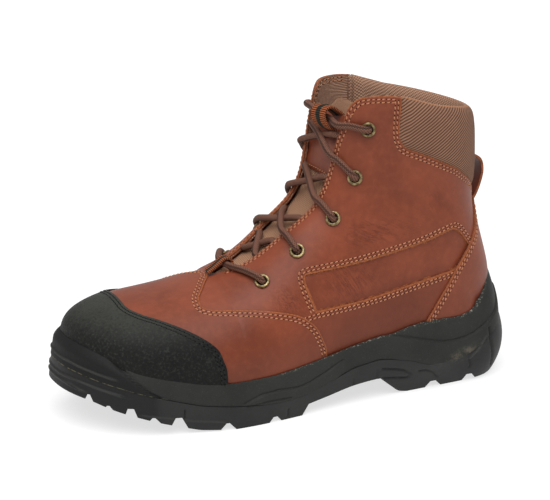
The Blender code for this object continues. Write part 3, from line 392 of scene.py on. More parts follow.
def folds(points, side):
    """How far the leather lies in or out at these points, from the creases."""
    depth = np.zeros(len(points))
    strength = 1.0 if side > 0 else INNER_CREASES
    for _, x1, z1, x2, z2, sag, width, deep in CREASES:
        ends = np.array((x2 - x1, z2 - z1))
        length = np.linalg.norm(ends)
        ahead = ends / length
        offset = points[:, [0, 2]] - np.array((x1, z1))
        run = offset @ ahead / length
        beside = offset @ np.array((-ahead[1], ahead[0])) + 4.0 * sag * run * (1.0 - run)
        fade = soft_step(run, -0.1, 0.3) * (1.0 - soft_step(run, 0.6, 1.1))
        trough = np.exp(-((beside / width) ** 2))
        ridge = np.exp(-(((np.abs(beside) - 2.1 * width) / (1.1 * width)) ** 2))
        depth += strength * deep * fade * (0.45 * ridge - trough)
    return depth


def select_only(*pieces):
    bpy.ops.object.select_all(action="DESELECT")
    for piece in pieces:
        piece.select_set(True)
    bpy.context.view_layer.objects.active = pieces[0]


def in_edit_mode(piece, *steps):
    """Runs steps on all of a piece's mesh in edit mode."""
    select_only(piece)
    bpy.ops.object.mode_set(mode="EDIT")
    bpy.ops.mesh.select_all(action="SELECT")
    for step in steps:
        step()
    bpy.ops.object.mode_set(mode="OBJECT")


def merge_doubles(distance=0.03):
    return lambda: bpy.ops.mesh.remove_doubles(threshold=distance * MM)


def face_out():
    bpy.ops.mesh.normals_make_consistent(inside=False)


def set_places(piece, points):
    piece.data.vertices.foreach_set("co", ((np.asarray(points) - ORIGIN) * MM).ravel())
    piece.data.update()


def set_mark(piece, name, values):
    """A value at each corner of the mesh, for its material to read."""
    held = piece.data.attributes.new(name, "FLOAT", "POINT")
    held.data.foreach_set("value", np.asarray(values, np.float32))


def set_cloth(piece, places):
    """The piece's own UV map, in millimetres, from a place for each vertex."""
    layers = piece.data.uv_layers
    layer = layers[0] if len(layers) else layers.new(name="UVMap")
    corners = np.zeros(len(piece.data.loops), np.int32)
    piece.data.loops.foreach_get("vertex_index", corners)
    layer.data.foreach_set("uv", np.asarray(places)[corners].ravel())


def turn_towards(piece, normals):
    """Flips the faces where they look against the given directions at the corners."""
    mesh = piece.data
    corner = np.zeros(len(mesh.polygons), np.int32)
    mesh.polygons.foreach_get("loop_start", corner)
    verts = np.zeros(len(mesh.loops), np.int32)
    mesh.loops.foreach_get("vertex_index", verts)
    looks = np.zeros(3 * len(mesh.polygons))
    mesh.polygons.foreach_get("normal", looks)
    if (looks.reshape(-1, 3) * normals[verts[corner]]).sum() < 0.0:
        mesh.flip_normals()


def net(name, columns, rows, shape, size=(1.0, 1.0)):
    """A grid laid on a shape: shape(across, along) gives places, and directions out or None.

    The grid's own UV map is scaled to the size in millimetres."""
    bpy.ops.object.select_all(action="DESELECT")
    bpy.ops.mesh.primitive_grid_add(x_subdivisions=columns, y_subdivisions=rows, size=1.0)
    piece = bpy.context.object
    piece.name = piece.data.name = name
    flat = np.zeros(3 * len(piece.data.vertices))
    piece.data.vertices.foreach_get("co", flat)
    flat = flat.reshape(-1, 3) + 0.5
    points, normals = shape(np.clip(flat[:, 0], 0.0, 1.0), np.clip(flat[:, 1], 0.0, 1.0))
    set_places(piece, points)
    uv = np.zeros(2 * len(piece.data.loops))
    piece.data.uv_layers[0].data.foreach_get("uv", uv)
    piece.data.uv_layers[0].data.foreach_set("uv", (uv.reshape(-1, 2) * np.array(size)).ravel())
    if normals is not None:
        turn_towards(piece, normals)
    return piece


def from_faces(name, points, faces):
    mesh = bpy.data.meshes.new(name)
    mesh.from_pydata(((np.asarray(points) - ORIGIN) * MM).tolist(), [], faces)
    piece = bpy.data.objects.new(name, mesh)
    bpy.context.scene.collection.objects.link(piece)
    return piece


def apply(piece, kind, **settings):
    modifier = piece.modifiers.new(kind.lower(), kind)
    for name, value in settings.items():
        setattr(modifier, name, value)
    select_only(piece)
    bpy.ops.object.modifier_apply(modifier=modifier.name)


def thicken(piece, thick):
    """Gives a sheet its thickness inwards; its cut edge takes the second material."""
    apply(piece, "SOLIDIFY", thickness=thick * MM, offset=-1.0, material_offset_rim=1)


def joined(first, *others):
    select_only(first, *others)
    bpy.ops.object.join()
    return first


def smooth(piece, degrees=40.0):
    select_only(piece)
    bpy.ops.object.shade_smooth_by_angle(angle=math.radians(degrees))


def finished(piece, slot, finishes, *nodes):
    """Gives a piece its materials and the nodes that it stands for; slot is not used."""
    for finish in finishes:
        piece.data.materials.append(finish)
    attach(piece, "root")
    if nodes:
        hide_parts(*nodes)
    return piece


class Wire:
    """One value in a material's nodes; arithmetic on it adds Math nodes."""

    def __init__(self, finish, socket):
        self.finish, self.socket = finish, socket

    def math(self, operation, first, second):
        return self.finish.node("ShaderNodeMath", {"operation": operation}, {0: first, 1: second})

    def __add__(self, other):
        return self.math("ADD", self, other)

    def __radd__(self, other):
        return self.math("ADD", other, self)

    def __sub__(self, other):
        return self.math("SUBTRACT", self, other)

    def __rsub__(self, other):
        return self.math("SUBTRACT", other, self)

    def __mul__(self, other):
        return self.math("MULTIPLY", self, other)

    def __rmul__(self, other):
        return self.math("MULTIPLY", other, self)

    def __truediv__(self, other):
        return self.math("DIVIDE", self, other)

    def at_most(self, other):
        return self.math("MINIMUM", self, other)

    def at_least(self, other):
        return self.math("MAXIMUM", self, other)

    def sine(self):
        return self.math("SINE", self, 0.0)

    def size(self):
        return self.math("ABSOLUTE", self, 0.0)

    def between(self, start, end):
        """0 before start, 1 after end, soft in between."""
        return self.finish.node(
            "ShaderNodeMapRange", {"interpolation_type": "SMOOTHSTEP"}, {0: self, 1: start, 2: end}
        )


class Finish:
    """A procedural material round one Principled shader."""

    def __init__(self, name, **constants):
        self.material = bpy.data.materials.new(name)
        self.material.use_nodes = True
        self.tree = self.material.node_tree
        self.shader = self.tree.nodes["Principled BSDF"]
        for socket, value in constants.items():
            self.shader.inputs[socket.replace("_", " ").title().replace("Ior", "IOR")].default_value = value

    def node(self, kind, settings=None, values=None, out=0):
        made = self.tree.nodes.new(kind)
        for name, value in (settings or {}).items():
            setattr(made, name, value)
        for socket, value in (values or {}).items():
            self.feed(made.inputs[socket], value)
        return Wire(self, made.outputs[out])

    def feed(self, socket, value):
        if isinstance(value, Wire):
            self.tree.links.new(value.socket, socket)
        else:
            socket.default_value = value

    def show(self, **sockets):
        for name, value in sockets.items():
            self.feed(self.shader.inputs[name.replace("_", " ").title()], value)
        return self.material

    def place(self):
        return self.node("ShaderNodeTexCoord", out="Object")

    def cloth_place(self):
        """The piece's own UV map, in millimetres, as two values."""
        uv = self.node("ShaderNodeUVMap")
        split = self.node("ShaderNodeSeparateXYZ", None, {0: uv})
        return split, Wire(self, split.socket.node.outputs[1])

    def mark(self, name):
        return self.node("ShaderNodeAttribute", {"attribute_name": name}, out="Fac")

    def noise(self, scale, detail=2.0, rough=0.5, place=None):
        values = {"Scale": scale, "Detail": detail, "Roughness": rough, "Vector": place or self.place()}
        return self.node("ShaderNodeTexNoise", None, values)

    def cells(self, scale):
        return self.node("ShaderNodeTexVoronoi", None, {"Scale": scale, "Vector": self.place()})

    def stretched(self, degrees, length, width):
        """Places turned about the y axis and stretched, for marks that run one way along the side."""
        turn = (0.0, math.radians(degrees), 0.0)
        values = {"Vector": self.place(), "Rotation": turn, "Scale": (length, width, width)}
        return self.node("ShaderNodeMapping", {"vector_type": "TEXTURE"}, values)

    def along(self, axis):
        """The place along one axis, in metres: 0 to the toe, 1 to the outer side and 2 up."""
        return self.node("ShaderNodeSeparateXYZ", None, {0: self.place()}, out=axis)

    def fine_lines(self, degrees, length, width):
        """Thin broken lines that run one way along the side."""
        field = self.noise(1.0, 2.0, 0.5, self.stretched(degrees, length, width))
        return 1.0 - (field - 0.5).size().between(0.0, 0.07)

    def mix(self, factor, first, second):
        return self.node("ShaderNodeMix", {"data_type": "RGBA"}, {0: factor, 6: first, 7: second}, out=2)

    def bump(self, height, reach, strength=1.0):
        values = {"Height": height, "Distance": reach * MM, "Strength": strength}
        return self.node("ShaderNodeBump", None, values)


def tint(red, green, blue):
    """A colour from its values on a screen, 0 to 255."""

    def linear(value):
        share = value / 255.0
        return share / 12.92 if share <= 0.04045 else ((share + 0.055) / 1.055) ** 2.4

    return (linear(red), linear(green), linear(blue), 1.0)


TURN = 2.0 * math.pi


def leather_finish():
    leather = Finish("leather_cognac", coat_weight=0.05, coat_roughness=0.45, specular_ior_level=0.22)
    cloud = leather.noise(30.0, 4.0, 0.55).between(0.25, 0.75)
    fine = leather.noise(260.0, 4.0, 0.6)
    base = leather.mix(cloud, tint(107, 50, 31), tint(129, 63, 40))
    base = leather.mix(fine.between(0.4, 0.8) * 0.3, base, tint(148, 79, 51))
    # Painted shade: the leather is darker towards the sole, and darker still low along the middle of the
    # side.
    low, waist = leather.along(2), leather.along(0)
    base = leather.mix((0.072 - low).between(0.0, 0.034) * 0.3, base, tint(86, 36, 20))
    waist = (waist + 0.1).between(0.0, 0.025) * (0.005 - waist).between(0.0, 0.03)
    base = leather.mix((0.08 - low).between(0.0, 0.02) * waist * 0.4, base, tint(84, 37, 23))
    # Painted shade: the leather is darker in the troughs of the creases.
    crease_shade = (leather.mark("fold") * -3.0).between(0.0, 1.0)
    base = leather.mix(crease_shade * 0.3, base, tint(84, 36, 22))
    flat = leather.fine_lines(-24.0, 0.016, 0.0016) * leather.mark("flat_wrinkle")
    steep = leather.fine_lines(-56.0, 0.016, 0.0017) * leather.mark("steep_wrinkle")
    wrinkle = flat + steep
    # Painted shade: the fine wrinkles' lines are darker, besides their bump.
    base = leather.mix(wrinkle.at_most(1.0) * 0.45, base, tint(74, 30, 17))
    # Darker within a few millimetres of a cut edge; on the sunk band this is painted shade under the
    # quarter's edge.
    base = leather.mix(leather.mark("edge") * 0.25, base, tint(92, 40, 24))
    raw = leather.mark("raw").between(0.3, 0.55)
    fibre = leather.noise(1100.0, 3.0, 0.6)
    base = leather.mix(raw, base, leather.mix(fibre.between(0.3, 0.7), tint(118, 62, 34), tint(160, 92, 54)))
    pores = leather.cells(1300.0)
    height = pores * 0.25 + leather.noise(430.0, 5.0, 0.62) * 0.55 - wrinkle * 1.4
    rough = 0.42 + fine * 0.12 + raw * 0.3
    return leather.show(base_color=base, roughness=rough, normal=leather.bump(height, 0.2, 0.7))


def raw_edge_finish():
    edge = Finish("leather_raw_edge", roughness=0.85)
    fibre = edge.noise(900.0, 3.0, 0.6)
    base = edge.mix(fibre.between(0.3, 0.7), tint(104, 54, 30), tint(150, 86, 50))
    return edge.show(base_color=base, normal=edge.bump(fibre, 0.3))


# A dark disc for each needle hole: painted shade inside the hole.
def needle_hole_shade_finish(name, dark, light):
    hole = Finish(name, specular_ior_level=0.1)
    shade = hole.noise(900.0, 2.0)
    return hole.show(base_color=hole.mix(shade, dark, light), roughness=0.95)


def cap_finish():
    cap = Finish("cap_nubuck_black", specular_ior_level=0.13)
    cloud = cap.noise(30.0, 4.0, 0.6).between(0.3, 0.7)
    nap = cap.noise(620.0, 4.0, 0.7)
    # Painted light: the cap is lighter towards its top, where the overhead light falls.
    top = cap.along(2).between(0.051, 0.073)
    base = cap.mix(cloud, tint(17, 18, 17), tint(25, 26, 24))
    base = cap.mix(top * (0.75 + cloud * 0.25), base, tint(56, 57, 52))
    base = cap.mix(nap.between(0.48, 0.72) * 0.45, base, tint(62, 64, 58))
    base = cap.mix((1.0 - nap).between(0.5, 0.7) * 0.5, base, tint(14, 15, 14))
    return cap.show(base_color=base, roughness=0.55 + nap * 0.12, normal=cap.bump(nap, 0.35, 0.9))


def twill_finish(name, dark, light):
    twill = Finish(name, specular_ior_level=0.15)
    u, v = twill.cloth_place()
    rib = ((u * 0.84 + v * 0.54) * (TURN / 1.8)).sine() * 0.5 + 0.5
    yarn = ((u * 0.54 - v * 0.84) * (TURN / 1.1)).sine() * 0.5 + 0.5
    weave = rib * (0.75 + yarn * 0.25)
    cloud = twill.noise(45.0, 3.0)
    base = twill.mix(weave.between(0.1, 0.8), dark, light)
    base = twill.mix(cloud.between(0.35, 0.7) * 0.25, base, dark)
    base = twill.mix(twill.mark("seam"), base, tint(158, 108, 76))
    return twill.show(base_color=base, roughness=0.88, normal=twill.bump(weave, 0.35, 0.9))


def net_lining_finish():
    lining = Finish("net_lining_brown", specular_ior_level=0.15)
    u, v = lining.cloth_place()
    first = ((u * 0.5 + v * 0.42) * TURN).sine()
    second = ((u * 0.5 - v * 0.42) * TURN).sine()
    web = (first + second).between(-1.3, 1.3)
    base = lining.mix(web, tint(112, 84, 67), tint(174, 135, 112))
    base = lining.mix(lining.mark("seam"), base, tint(158, 108, 76))
    return lining.show(base_color=base, roughness=0.9, normal=lining.bump(web, 0.25, 0.8))


def tongue_finish():
    weave = Finish("tongue_weave_brown", specular_ior_level=0.15)
    u, v = weave.cloth_place()
    over = (u * (TURN / 2.3)).sine() * (v * (TURN / 2.3)).sine()
    threads = over.between(-0.6, 0.7)
    base = weave.mix(threads, tint(106, 77, 59), tint(198, 152, 121))
    return weave.show(base_color=base, roughness=0.9, normal=weave.bump(threads, 0.4, 0.9))


def webbing_finish():
    webbing = Finish("webbing_striped", specular_ior_level=0.2)
    u, v = webbing.cloth_place()
    rib = (v * (TURN / 1.2)).sine() * 0.8 + (u * (TURN / 1.3)).sine() * 0.2
    stripe = 1.0 - (u - 5.0).size().between(1.3, 1.7)
    base = webbing.mix(rib.between(-0.6, 0.7), tint(78, 38, 21), tint(168, 96, 60))
    base = webbing.mix(stripe, base, webbing.mix(rib.between(-0.6, 0.7), tint(20, 24, 20), tint(44, 50, 42)))
    return webbing.show(base_color=base, roughness=0.85, normal=webbing.bump(rib, 0.35, 0.9))


def lace_finish():
    lace = Finish("lace_braid_brown", specular_ior_level=0.2)
    u, v = lace.cloth_place()
    left = ((u * 8.0 + v / 1.5) * TURN * 0.5).sine().size()
    right = ((u * 8.0 - v / 1.5) * TURN * 0.5).sine().size()
    braid = left.at_least(right)
    tracer = ((u * 2.0) * TURN).sine().between(0.7, 0.95)
    base = lace.mix(braid.between(0.45, 1.0), tint(52, 32, 25), tint(118, 81, 66))
    base = lace.mix(tracer * 0.7, base, tint(38, 24, 18))
    return lace.show(base_color=base, roughness=0.82, normal=lace.bump(braid, 0.35, 0.9))


def brass_finish():
    brass = Finish("brass_antique_ring", metallic=1.0)
    worn = brass.noise(420.0, 4.0, 0.6).between(0.35, 0.7)
    base = brass.mix(worn, tint(98, 84, 56), tint(170, 152, 112))
    return brass.show(base_color=base, roughness=0.56 - worn * 0.12, normal=brass.bump(worn, 0.05))


def midsole_finish():
    foam = Finish("midsole_moulded", specular_ior_level=0.25)
    cloud = foam.noise(26.0, 4.0, 0.6).between(0.3, 0.7)
    pebble = foam.noise(700.0, 3.0, 0.6)
    base = foam.mix(cloud, tint(33, 34, 32), tint(42, 43, 40))
    base = foam.mix(foam.mark("bumper") * 0.9, base, tint(13, 14, 13))
    # Painted shade in the moulded grooves.
    base = foam.mix(foam.mark("groove") * 0.8, base, tint(14, 14, 13))
    # Painted highlight along the raised lines and the toe's ribs.
    base = foam.mix(foam.mark("ridge") * 0.5, base, tint(66, 67, 63))
    dust = foam.noise(110.0, 5.0, 0.75).between(0.42, 0.68) * foam.mark("dust")
    base = foam.mix(dust * 0.8, base, tint(108, 100, 84))
    fluff = foam.noise(1500.0, 2.0, 0.6).between(0.6, 0.72) * (0.35 - foam.mark("bumper") * 0.35)
    base = foam.mix(fluff, base, tint(74, 74, 68))
    # Painted highlight: pale specks along the rim's top edge, a glint painted on its corner.
    glint_specks = foam.noise(900.0, 3.0, 0.6).between(0.55, 0.65) * foam.mark("rim_glint")
    base = foam.mix(glint_specks * 0.7, base, tint(142, 138, 128))
    flash = foam.noise(300.0, 3.0, 0.6).between(0.4, 0.6) * foam.mark("flash")
    base = foam.mix(flash * 0.7, base, tint(112, 108, 84))
    return foam.show(base_color=base, roughness=0.62 + pebble * 0.16, normal=foam.bump(pebble, 0.16, 0.6))


def outsole_finish():
    rubber = Finish("outsole_rubber", specular_ior_level=0.3)
    cloud = rubber.noise(24.0, 4.0, 0.6).between(0.3, 0.7)
    fine = rubber.noise(600.0, 3.0, 0.6)
    base = rubber.mix(cloud, tint(27, 28, 27), tint(36, 37, 35))
    base = rubber.mix(rubber.mark("bumper") * 0.9, base, tint(13, 14, 13))
    # Painted shade in the moulded grooves.
    base = rubber.mix(rubber.mark("groove") * 0.8, base, tint(12, 12, 12))
    # Painted highlight along the raised lines and the toe's ribs.
    base = rubber.mix(rubber.mark("ridge") * 0.5, base, tint(62, 63, 60))
    scuff = rubber.noise(160.0, 5.0, 0.7).between(0.45, 0.75) * rubber.mark("dust")
    base = rubber.mix(scuff * 0.4, base, tint(104, 102, 94))
    return rubber.show(base_color=base, roughness=0.5 + fine * 0.18, normal=rubber.bump(fine, 0.12, 0.5))


def thread_finish(name, dark, light):
    thread = Finish(name, specular_ior_level=0.3)
    fibre = thread.noise(1600.0, 2.0).between(0.3, 0.7)
    base = thread.mix(fibre, dark, light)
    return thread.show(base_color=base, roughness=0.8, normal=thread.bump(fibre, 0.1))


def footbed_finish():
    felt = Finish("footbed_felt", specular_ior_level=0.15)
    fibre = felt.noise(800.0, 4.0, 0.7)
    base = felt.mix(fibre.between(0.3, 0.7), tint(52, 44, 38), tint(84, 72, 62))
    return felt.show(base_color=base, roughness=0.95, normal=felt.bump(fibre, 0.4))


LEATHER = leather_finish()
RAW_EDGE = raw_edge_finish()
CAP_BLACK = cap_finish()
TWILL = twill_finish("twill_brown", tint(88, 61, 47), tint(148, 110, 89))
LINING_TWILL = twill_finish("lining_twill_brown", tint(122, 92, 75), tint(186, 145, 121))
NET_LINING = net_lining_finish()
TONGUE_WEAVE = tongue_finish()
WEBBING = webbing_finish()
LACE = lace_finish()
BRASS = brass_finish()
MIDSOLE = midsole_finish()
OUTSOLE = outsole_finish()
HOLE_SHADE_BROWN = needle_hole_shade_finish("needle_hole_shade_brown", tint(46, 23, 15), tint(70, 36, 24))
HOLE_SHADE_BLACK = needle_hole_shade_finish("needle_hole_shade_black", tint(7, 7, 7), tint(15, 15, 15))
THREAD_TAN = thread_finish("thread_tan", tint(150, 96, 66), tint(196, 138, 102))
THREAD_BLACK = thread_finish("thread_black", tint(14, 14, 14), tint(34, 35, 34))
FOOTBED = footbed_finish()

# How the flat plan of a panel is stretched, so that a unit is about a millimetre each way.
PLAN_SCALE = np.array((24.0, 130.0))
PANEL_STEP = 1.7
UNDERLAP = 0.3
EDGE_COUNT = 900
# Distances are worked out in this many parts, which keeps each table small.
GAP_PARTS = 40


def inside(loop, spots):
    """Which spots lie inside a closed loop of the plan."""
    start, end = loop, np.roll(loop, -1, axis=0)
    within = np.zeros(len(spots), bool)
    for a, b in zip(start, end):
        spans = (a[1] > spots[:, 1]) != (b[1] > spots[:, 1])
        if spans.any():
            reach = a[0] + (spots[:, 1] - a[1]) * (b[0] - a[0]) / (b[1] - a[1] if b[1] != a[1] else 1e-12)
            within ^= spans & (spots[:, 0] < reach)
    return within


def nearest_gap(spots, line):
    """Each spot's distance to the nearest point of a line."""
    gaps = []
    for part in np.array_split(spots, GAP_PARTS):
        gaps.append(np.sqrt(((part[:, None] - line[None]) ** 2).sum(axis=2).min(axis=1)))
    return np.concatenate(gaps)


def on_panel(loops, spots):
    """Which spots lie inside the first loop and outside the others, its holes."""
    keep = inside(loops[0], spots)
    for loop in loops[1:]:
        keep &= ~inside(loop, spots)
    return keep


def panel(name, outline, holes, side, lift, seen_edges, folded=True):
    """A panel of the upper: outline and holes are in stations and shares, and seen_edges are the cut ones."""
    loops = [loop * PLAN_SCALE for loop in (outline, *holes)]
    border = np.vstack(loops)
    edges, start = [], 0
    for loop in loops:
        count = len(loop)
        edges += [(start + k, start + (k + 1) % count) for k in range(count)]
        start += count
    low, high = loops[0].min(axis=0), loops[0].max(axis=0)
    ticks = [np.arange(low[k], high[k], PANEL_STEP) for k in (0, 1)]
    grid = np.stack(np.meshgrid(*ticks), axis=-1).reshape(-1, 2)
    grid = grid[on_panel(loops, grid)]
    grid = grid[nearest_gap(grid, border) > 0.6 * PANEL_STEP]
    spots = [Vector(p) for p in np.vstack((border, grid)).tolist()]
    found = delaunay_2d_cdt(spots, edges, [], 0, 1e-4, False)
    flat = np.array([tuple(p) for p in found[0]])
    faces = np.array([face for face in found[2] if len(face) == 3])
    faces = faces[on_panel(loops, flat[faces].mean(axis=1))]
    station, share = (flat / PLAN_SCALE).T
    share = np.clip(share, 0.0, 1.0)
    sides = np.full(len(flat), float(side))
    ground, normals = last_points(station, share, sides), last_normals(station, share, sides)
    cut_edge = np.vstack([last_points(line[:, 0], line[:, 1], side) for line in seen_edges])
    fold = folds(ground, side) if folded else np.zeros(len(ground))
    height, marks = edge_shape(lift, ground, cut_edge)
    piece = from_faces(name, ground + normals * (height + fold)[:, None], faces.tolist())
    turn_towards(piece, normals)
    set_cloth(piece, flat)
    marks.update(wrinkle_marks(ground), fold=fold)
    for mark, values in marks.items():
        set_mark(piece, mark, values)
    return piece


RAW_WIDE = 1.3
# How far from a cut edge the leather is painted darker; on the band, painted shade under the window's edge.
EDGE_DARK_WIDE = 7.0


def edge_shape(lift, ground, cut_edge):
    """How far a panel stands out, rounded off at its cut edge, and the marks that its finish reads there."""
    gap = nearest_gap(ground, cut_edge)
    near = 1.0 - np.clip(gap / RAW_WIDE, 0.0, 1.0)
    return lift - EDGE_DROP * near**2, {"raw": near, "edge": 1.0 - soft_step(gap, 0.0, EDGE_DARK_WIDE)}


def vamp_line(side, count=110, shift=0.0):
    shares = np.linspace(1.0, 0.0, count)
    return np.stack((edge_stations(VAMP_EDGE, shares, side) - shift, shares), axis=1)


def cap_line(side, count=110):
    shares = np.linspace(1.0, 0.0, count)
    return np.stack((edge_stations(CAP_EDGE, shares, side), shares), axis=1)


COUNTER_STATIONS = np.linspace(8.75, 15.85, 90)


def counter_line(side):
    return np.stack((COUNTER_STATIONS, counter_shares(COUNTER_STATIONS, side)), axis=1)


def cuff_line(side):
    """The leather's edge below and in front of the cuff, from the back seam to the top."""
    corner = place(smooth_line(CUFF_CORNER, 10), side)
    shares = np.linspace(0.0, corner[0, 1], 60)[:-1]
    return np.vstack((np.stack((stations_under(CUFF_SEAM, shares, side), shares), axis=1), corner))


def quarter_top_line(side):
    line = place(smooth_line(QUARTER_TOP, 8)[1:], side)
    line[-1, 1] = 1.0
    return line


def throat_line(top, count=140):
    stations = np.linspace(top, THROAT_STATION, count)
    return np.stack((stations, np.ones(count)), axis=1)


def band_outline(side, grow=0.0):
    """The side band's outline, grown by some millimetres where it runs under the panels round it."""
    corners = np.vstack((smooth_line(BAND_TOP, 8), smooth_line(BAND_LOW, 8)))
    loop = resampled(corners, 260)[:-1]
    if grow:
        ahead = unit(np.roll(loop, -1, axis=0) - np.roll(loop, 1, axis=0))
        loop = loop + grow * np.stack((ahead[:, 1], -ahead[:, 0]), axis=1)
    return place(loop, side)


def eyelet_spot(row, side):
    """An eyelet's station and share."""
    return place([row], side)[0]


def eyelet_frame(row, side):
    """An eyelet's centre on the leather and the direction out of it."""
    station, share = eyelet_spot(row, side)
    centre = last_points(station, share, side)
    return centre, last_normals(np.array(station), np.array(share), np.array(float(side)))


def eyelet_hole(row, side, radius):
    """A round hole as a loop of stations and shares."""
    station, share = eyelet_spot(row, side)
    along, across = tangents(station, share, float(side))
    frame_in = np.stack((along, across), axis=1)
    flat, _ = np.linalg.qr(frame_in)
    to_plan = np.linalg.inv(flat.T @ frame_in)
    turn = np.linspace(0.0, TURN, 24, endpoint=False)
    ring = np.stack((np.cos(turn), np.sin(turn)), axis=1) * radius
    return np.array((station, share)) + ring @ to_plan.T


def quarter_outline(side):
    """The quarter's outline: the vamp's seam, the feather line, the back seam, the top and the throat."""
    front = vamp_line(side, shift=UNDERLAP)
    rear_top = cuff_line(side)
    top = quarter_top_line(side)
    feather = np.stack((np.linspace(front[-1, 0], HEEL_STATION, 120), np.zeros(120)), axis=1)
    back = np.stack((np.linspace(HEEL_STATION, rear_top[0, 0], 46), np.zeros(46)), axis=1)
    throat = throat_line(top[-1, 0])
    ridge = np.stack((np.linspace(THROAT_STATION, front[0, 0], 16), np.ones(16)), axis=1)
    parts = (front, feather[1:], back[1:], rear_top[1:], top[1:], throat[1:], ridge[1:-1])
    return np.vstack(parts), (rear_top, top, throat)


def make_quarters():
    halves, linings = [], []
    for side, word in SIDES:
        outline, seen = quarter_outline(side)
        eyes = [eyelet_hole(row, side, EYELET_HOLE_R + 0.4) for row in EYELETS]
        band = band_outline(side)
        halves.append(panel(f"quarter_{word}", outline, [*eyes, band], side, 0.0, [*seen, *eyes, band]))
        linings.append(panel(f"lining_{word}", outline, eyes, side, LINING_LIFT, seen, folded=False))
    quarters, lining = joined(*halves), joined(*linings)
    for piece, name in ((quarters, "quarter_leather"), (lining, "quarter_lining")):
        piece.name = piece.data.name = name
        in_edit_mode(piece, merge_doubles(0.06))
    finished(quarters, "leather_brown", (LEATHER, RAW_EDGE), "upper")
    thicken(quarters, LEATHER_THICK)
    finished(lining, "textile_brown", (LINING_TWILL, RAW_EDGE))
    thicken(lining, LINING_THICK)
    for piece in (quarters, lining):
        smooth(piece)


def make_bands():
    halves = []
    for side, word in SIDES:
        outline = band_outline(side, 3.0)
        halves.append(panel(f"band_{word}", outline, [], side, BAND_LIFT, [band_outline(side)]))
    bands = joined(*halves)
    bands.name = bands.data.name = "band_leather"
    finished(bands, "leather_brown", (LEATHER, RAW_EDGE))
    thicken(bands, BAND_THICK)
    smooth(bands)


def across_foot(value):
    """Share and side for a value from 0, the outer feather line, over the ridge to 1, the inner one."""
    return np.minimum(2.0 * value, 2.0 - 2.0 * value), np.where(value <= 0.5, 1.0, -1.0)


def both_sides(edge, share, side, shift=0.0):
    stations = [edge_stations(edge, share, s) for s in (1, -1)]
    return np.where(side > 0, stations[0], stations[1]) + shift


def dense_line(line, side):
    """An edge as points on the last, close enough together to measure from."""
    return resampled(last_points(line[:, 0], line[:, 1], side), EDGE_COUNT)


def make_vamp():
    held = {}
    cut_edge = np.vstack([dense_line(vamp_line(side, EDGE_COUNT), side) for side, _ in SIDES])

    def shape(across, along):
        share, side = across_foot(across)
        start, end = both_sides(CAP_EDGE, share, side, -UNDERLAP), both_sides(VAMP_EDGE, share, side)
        station = start + (end - start) * along
        ground, normals = last_points(station, share, side), last_normals(station, share, side)
        fold = np.where(side > 0, folds(ground, 1), folds(ground, -1)) * soft_step(share, 0.0, 0.2)
        height, marks = edge_shape(VAMP_LIFT, ground, cut_edge)
        held.update(marks, fold=fold)
        return ground + normals * (height + fold)[:, None], normals

    vamp = net("vamp_leather", 300, 80, shape)
    for mark, values in held.items():
        set_mark(vamp, mark, values)
    finished(vamp, "leather_brown", (LEATHER, RAW_EDGE))
    thicken(vamp, LEATHER_THICK)
    smooth(vamp)


def toe_spread(along):
    return 1.0 - np.cos(0.5 * math.pi * along)


def make_cap():
    cut_edge = np.vstack([dense_line(cap_line(side, EDGE_COUNT), side) for side, _ in SIDES])

    def shape(across, along):
        share, side = across_foot(across)
        station = np.maximum(both_sides(CAP_EDGE, share, side) * toe_spread(along), 1e-5)
        ground, normals = last_points(station, share, side), last_normals(station, share, side)
        height, _ = edge_shape(CAP_LIFT, ground, cut_edge)
        return ground + normals * height[:, None], normals

    cap = net("toe_cap_nubuck", 200, 80, shape)
    in_edit_mode(cap, merge_doubles())
    finished(cap, "cap_black", (CAP_BLACK, CAP_BLACK), "toe_cap")
    thicken(cap, LEATHER_THICK - 0.3)
    smooth(cap)


def make_counter():
    halves = []
    for side, word in SIDES:
        line = counter_line(side)
        cut_edge, held = dense_line(line, side), {}

        def shape(across, along, side=side, line=line, cut_edge=cut_edge, held=held):
            station = COUNTER_STATIONS[0] + (COUNTER_STATIONS[-1] - COUNTER_STATIONS[0]) * along
            share = np.interp(station, line[:, 0], line[:, 1]) * across
            sides = np.full(len(share), float(side))
            ground, normals = last_points(station, share, sides), last_normals(station, share, sides)
            height, marks = edge_shape(COUNTER_LIFT, ground, cut_edge)
            held.update(marks)
            return ground + normals * height[:, None], normals

        half = net(f"counter_{word}", 50, 130, shape)
        for mark, values in held.items():
            set_mark(half, mark, values)
        halves.append(half)
    counter = joined(*halves)
    counter.name = counter.data.name = "counter_leather"
    in_edit_mode(counter, merge_doubles(0.06))
    finished(counter, "leather_brown", (LEATHER, RAW_EDGE), "counter")
    thicken(counter, LEATHER_THICK - 0.2)
    smooth(counter)


# Where the cuff passes under the quarter's edge, and where its hidden end lies.
CUFF_SEEN_X = 88.4
CUFF_FRONT_X = 91.4
# How far its ends are tucked in, and over what share of its half length it swells from there.
CUFF_TUCK = 1.3
CUFF_SWELL = 0.08
CUFF_ROWS = 140
CUFF_LEVEL = 17.5
CUFF_SEAM_TURN = 0.45
# The cuff's section: a row for each edge, as a share of its height, and how far it stands out of the last.
CUFF_SECTION = (
    (0.0, -0.6), (0.03, 0.5), (0.12, 1.7), (0.30, 2.3), (0.55, 2.4), (0.75, 2.1), (0.92, 0.6), (1.0, -3.0),
    (0.97, -5.4), (0.85, -7.6), (0.65, -8.5), (0.40, -8.4), (0.15, -7.6), (0.02, -6.2), (0.0, -3.4),
)


def closed_spline(points, steps):
    """A smooth closed loop through the points."""
    points = np.array(points, float)
    wrapped = np.vstack((points[-2:], points, points[:2]))
    line = smooth_line(wrapped, steps)
    return line[2 * steps : (2 + len(points)) * steps]


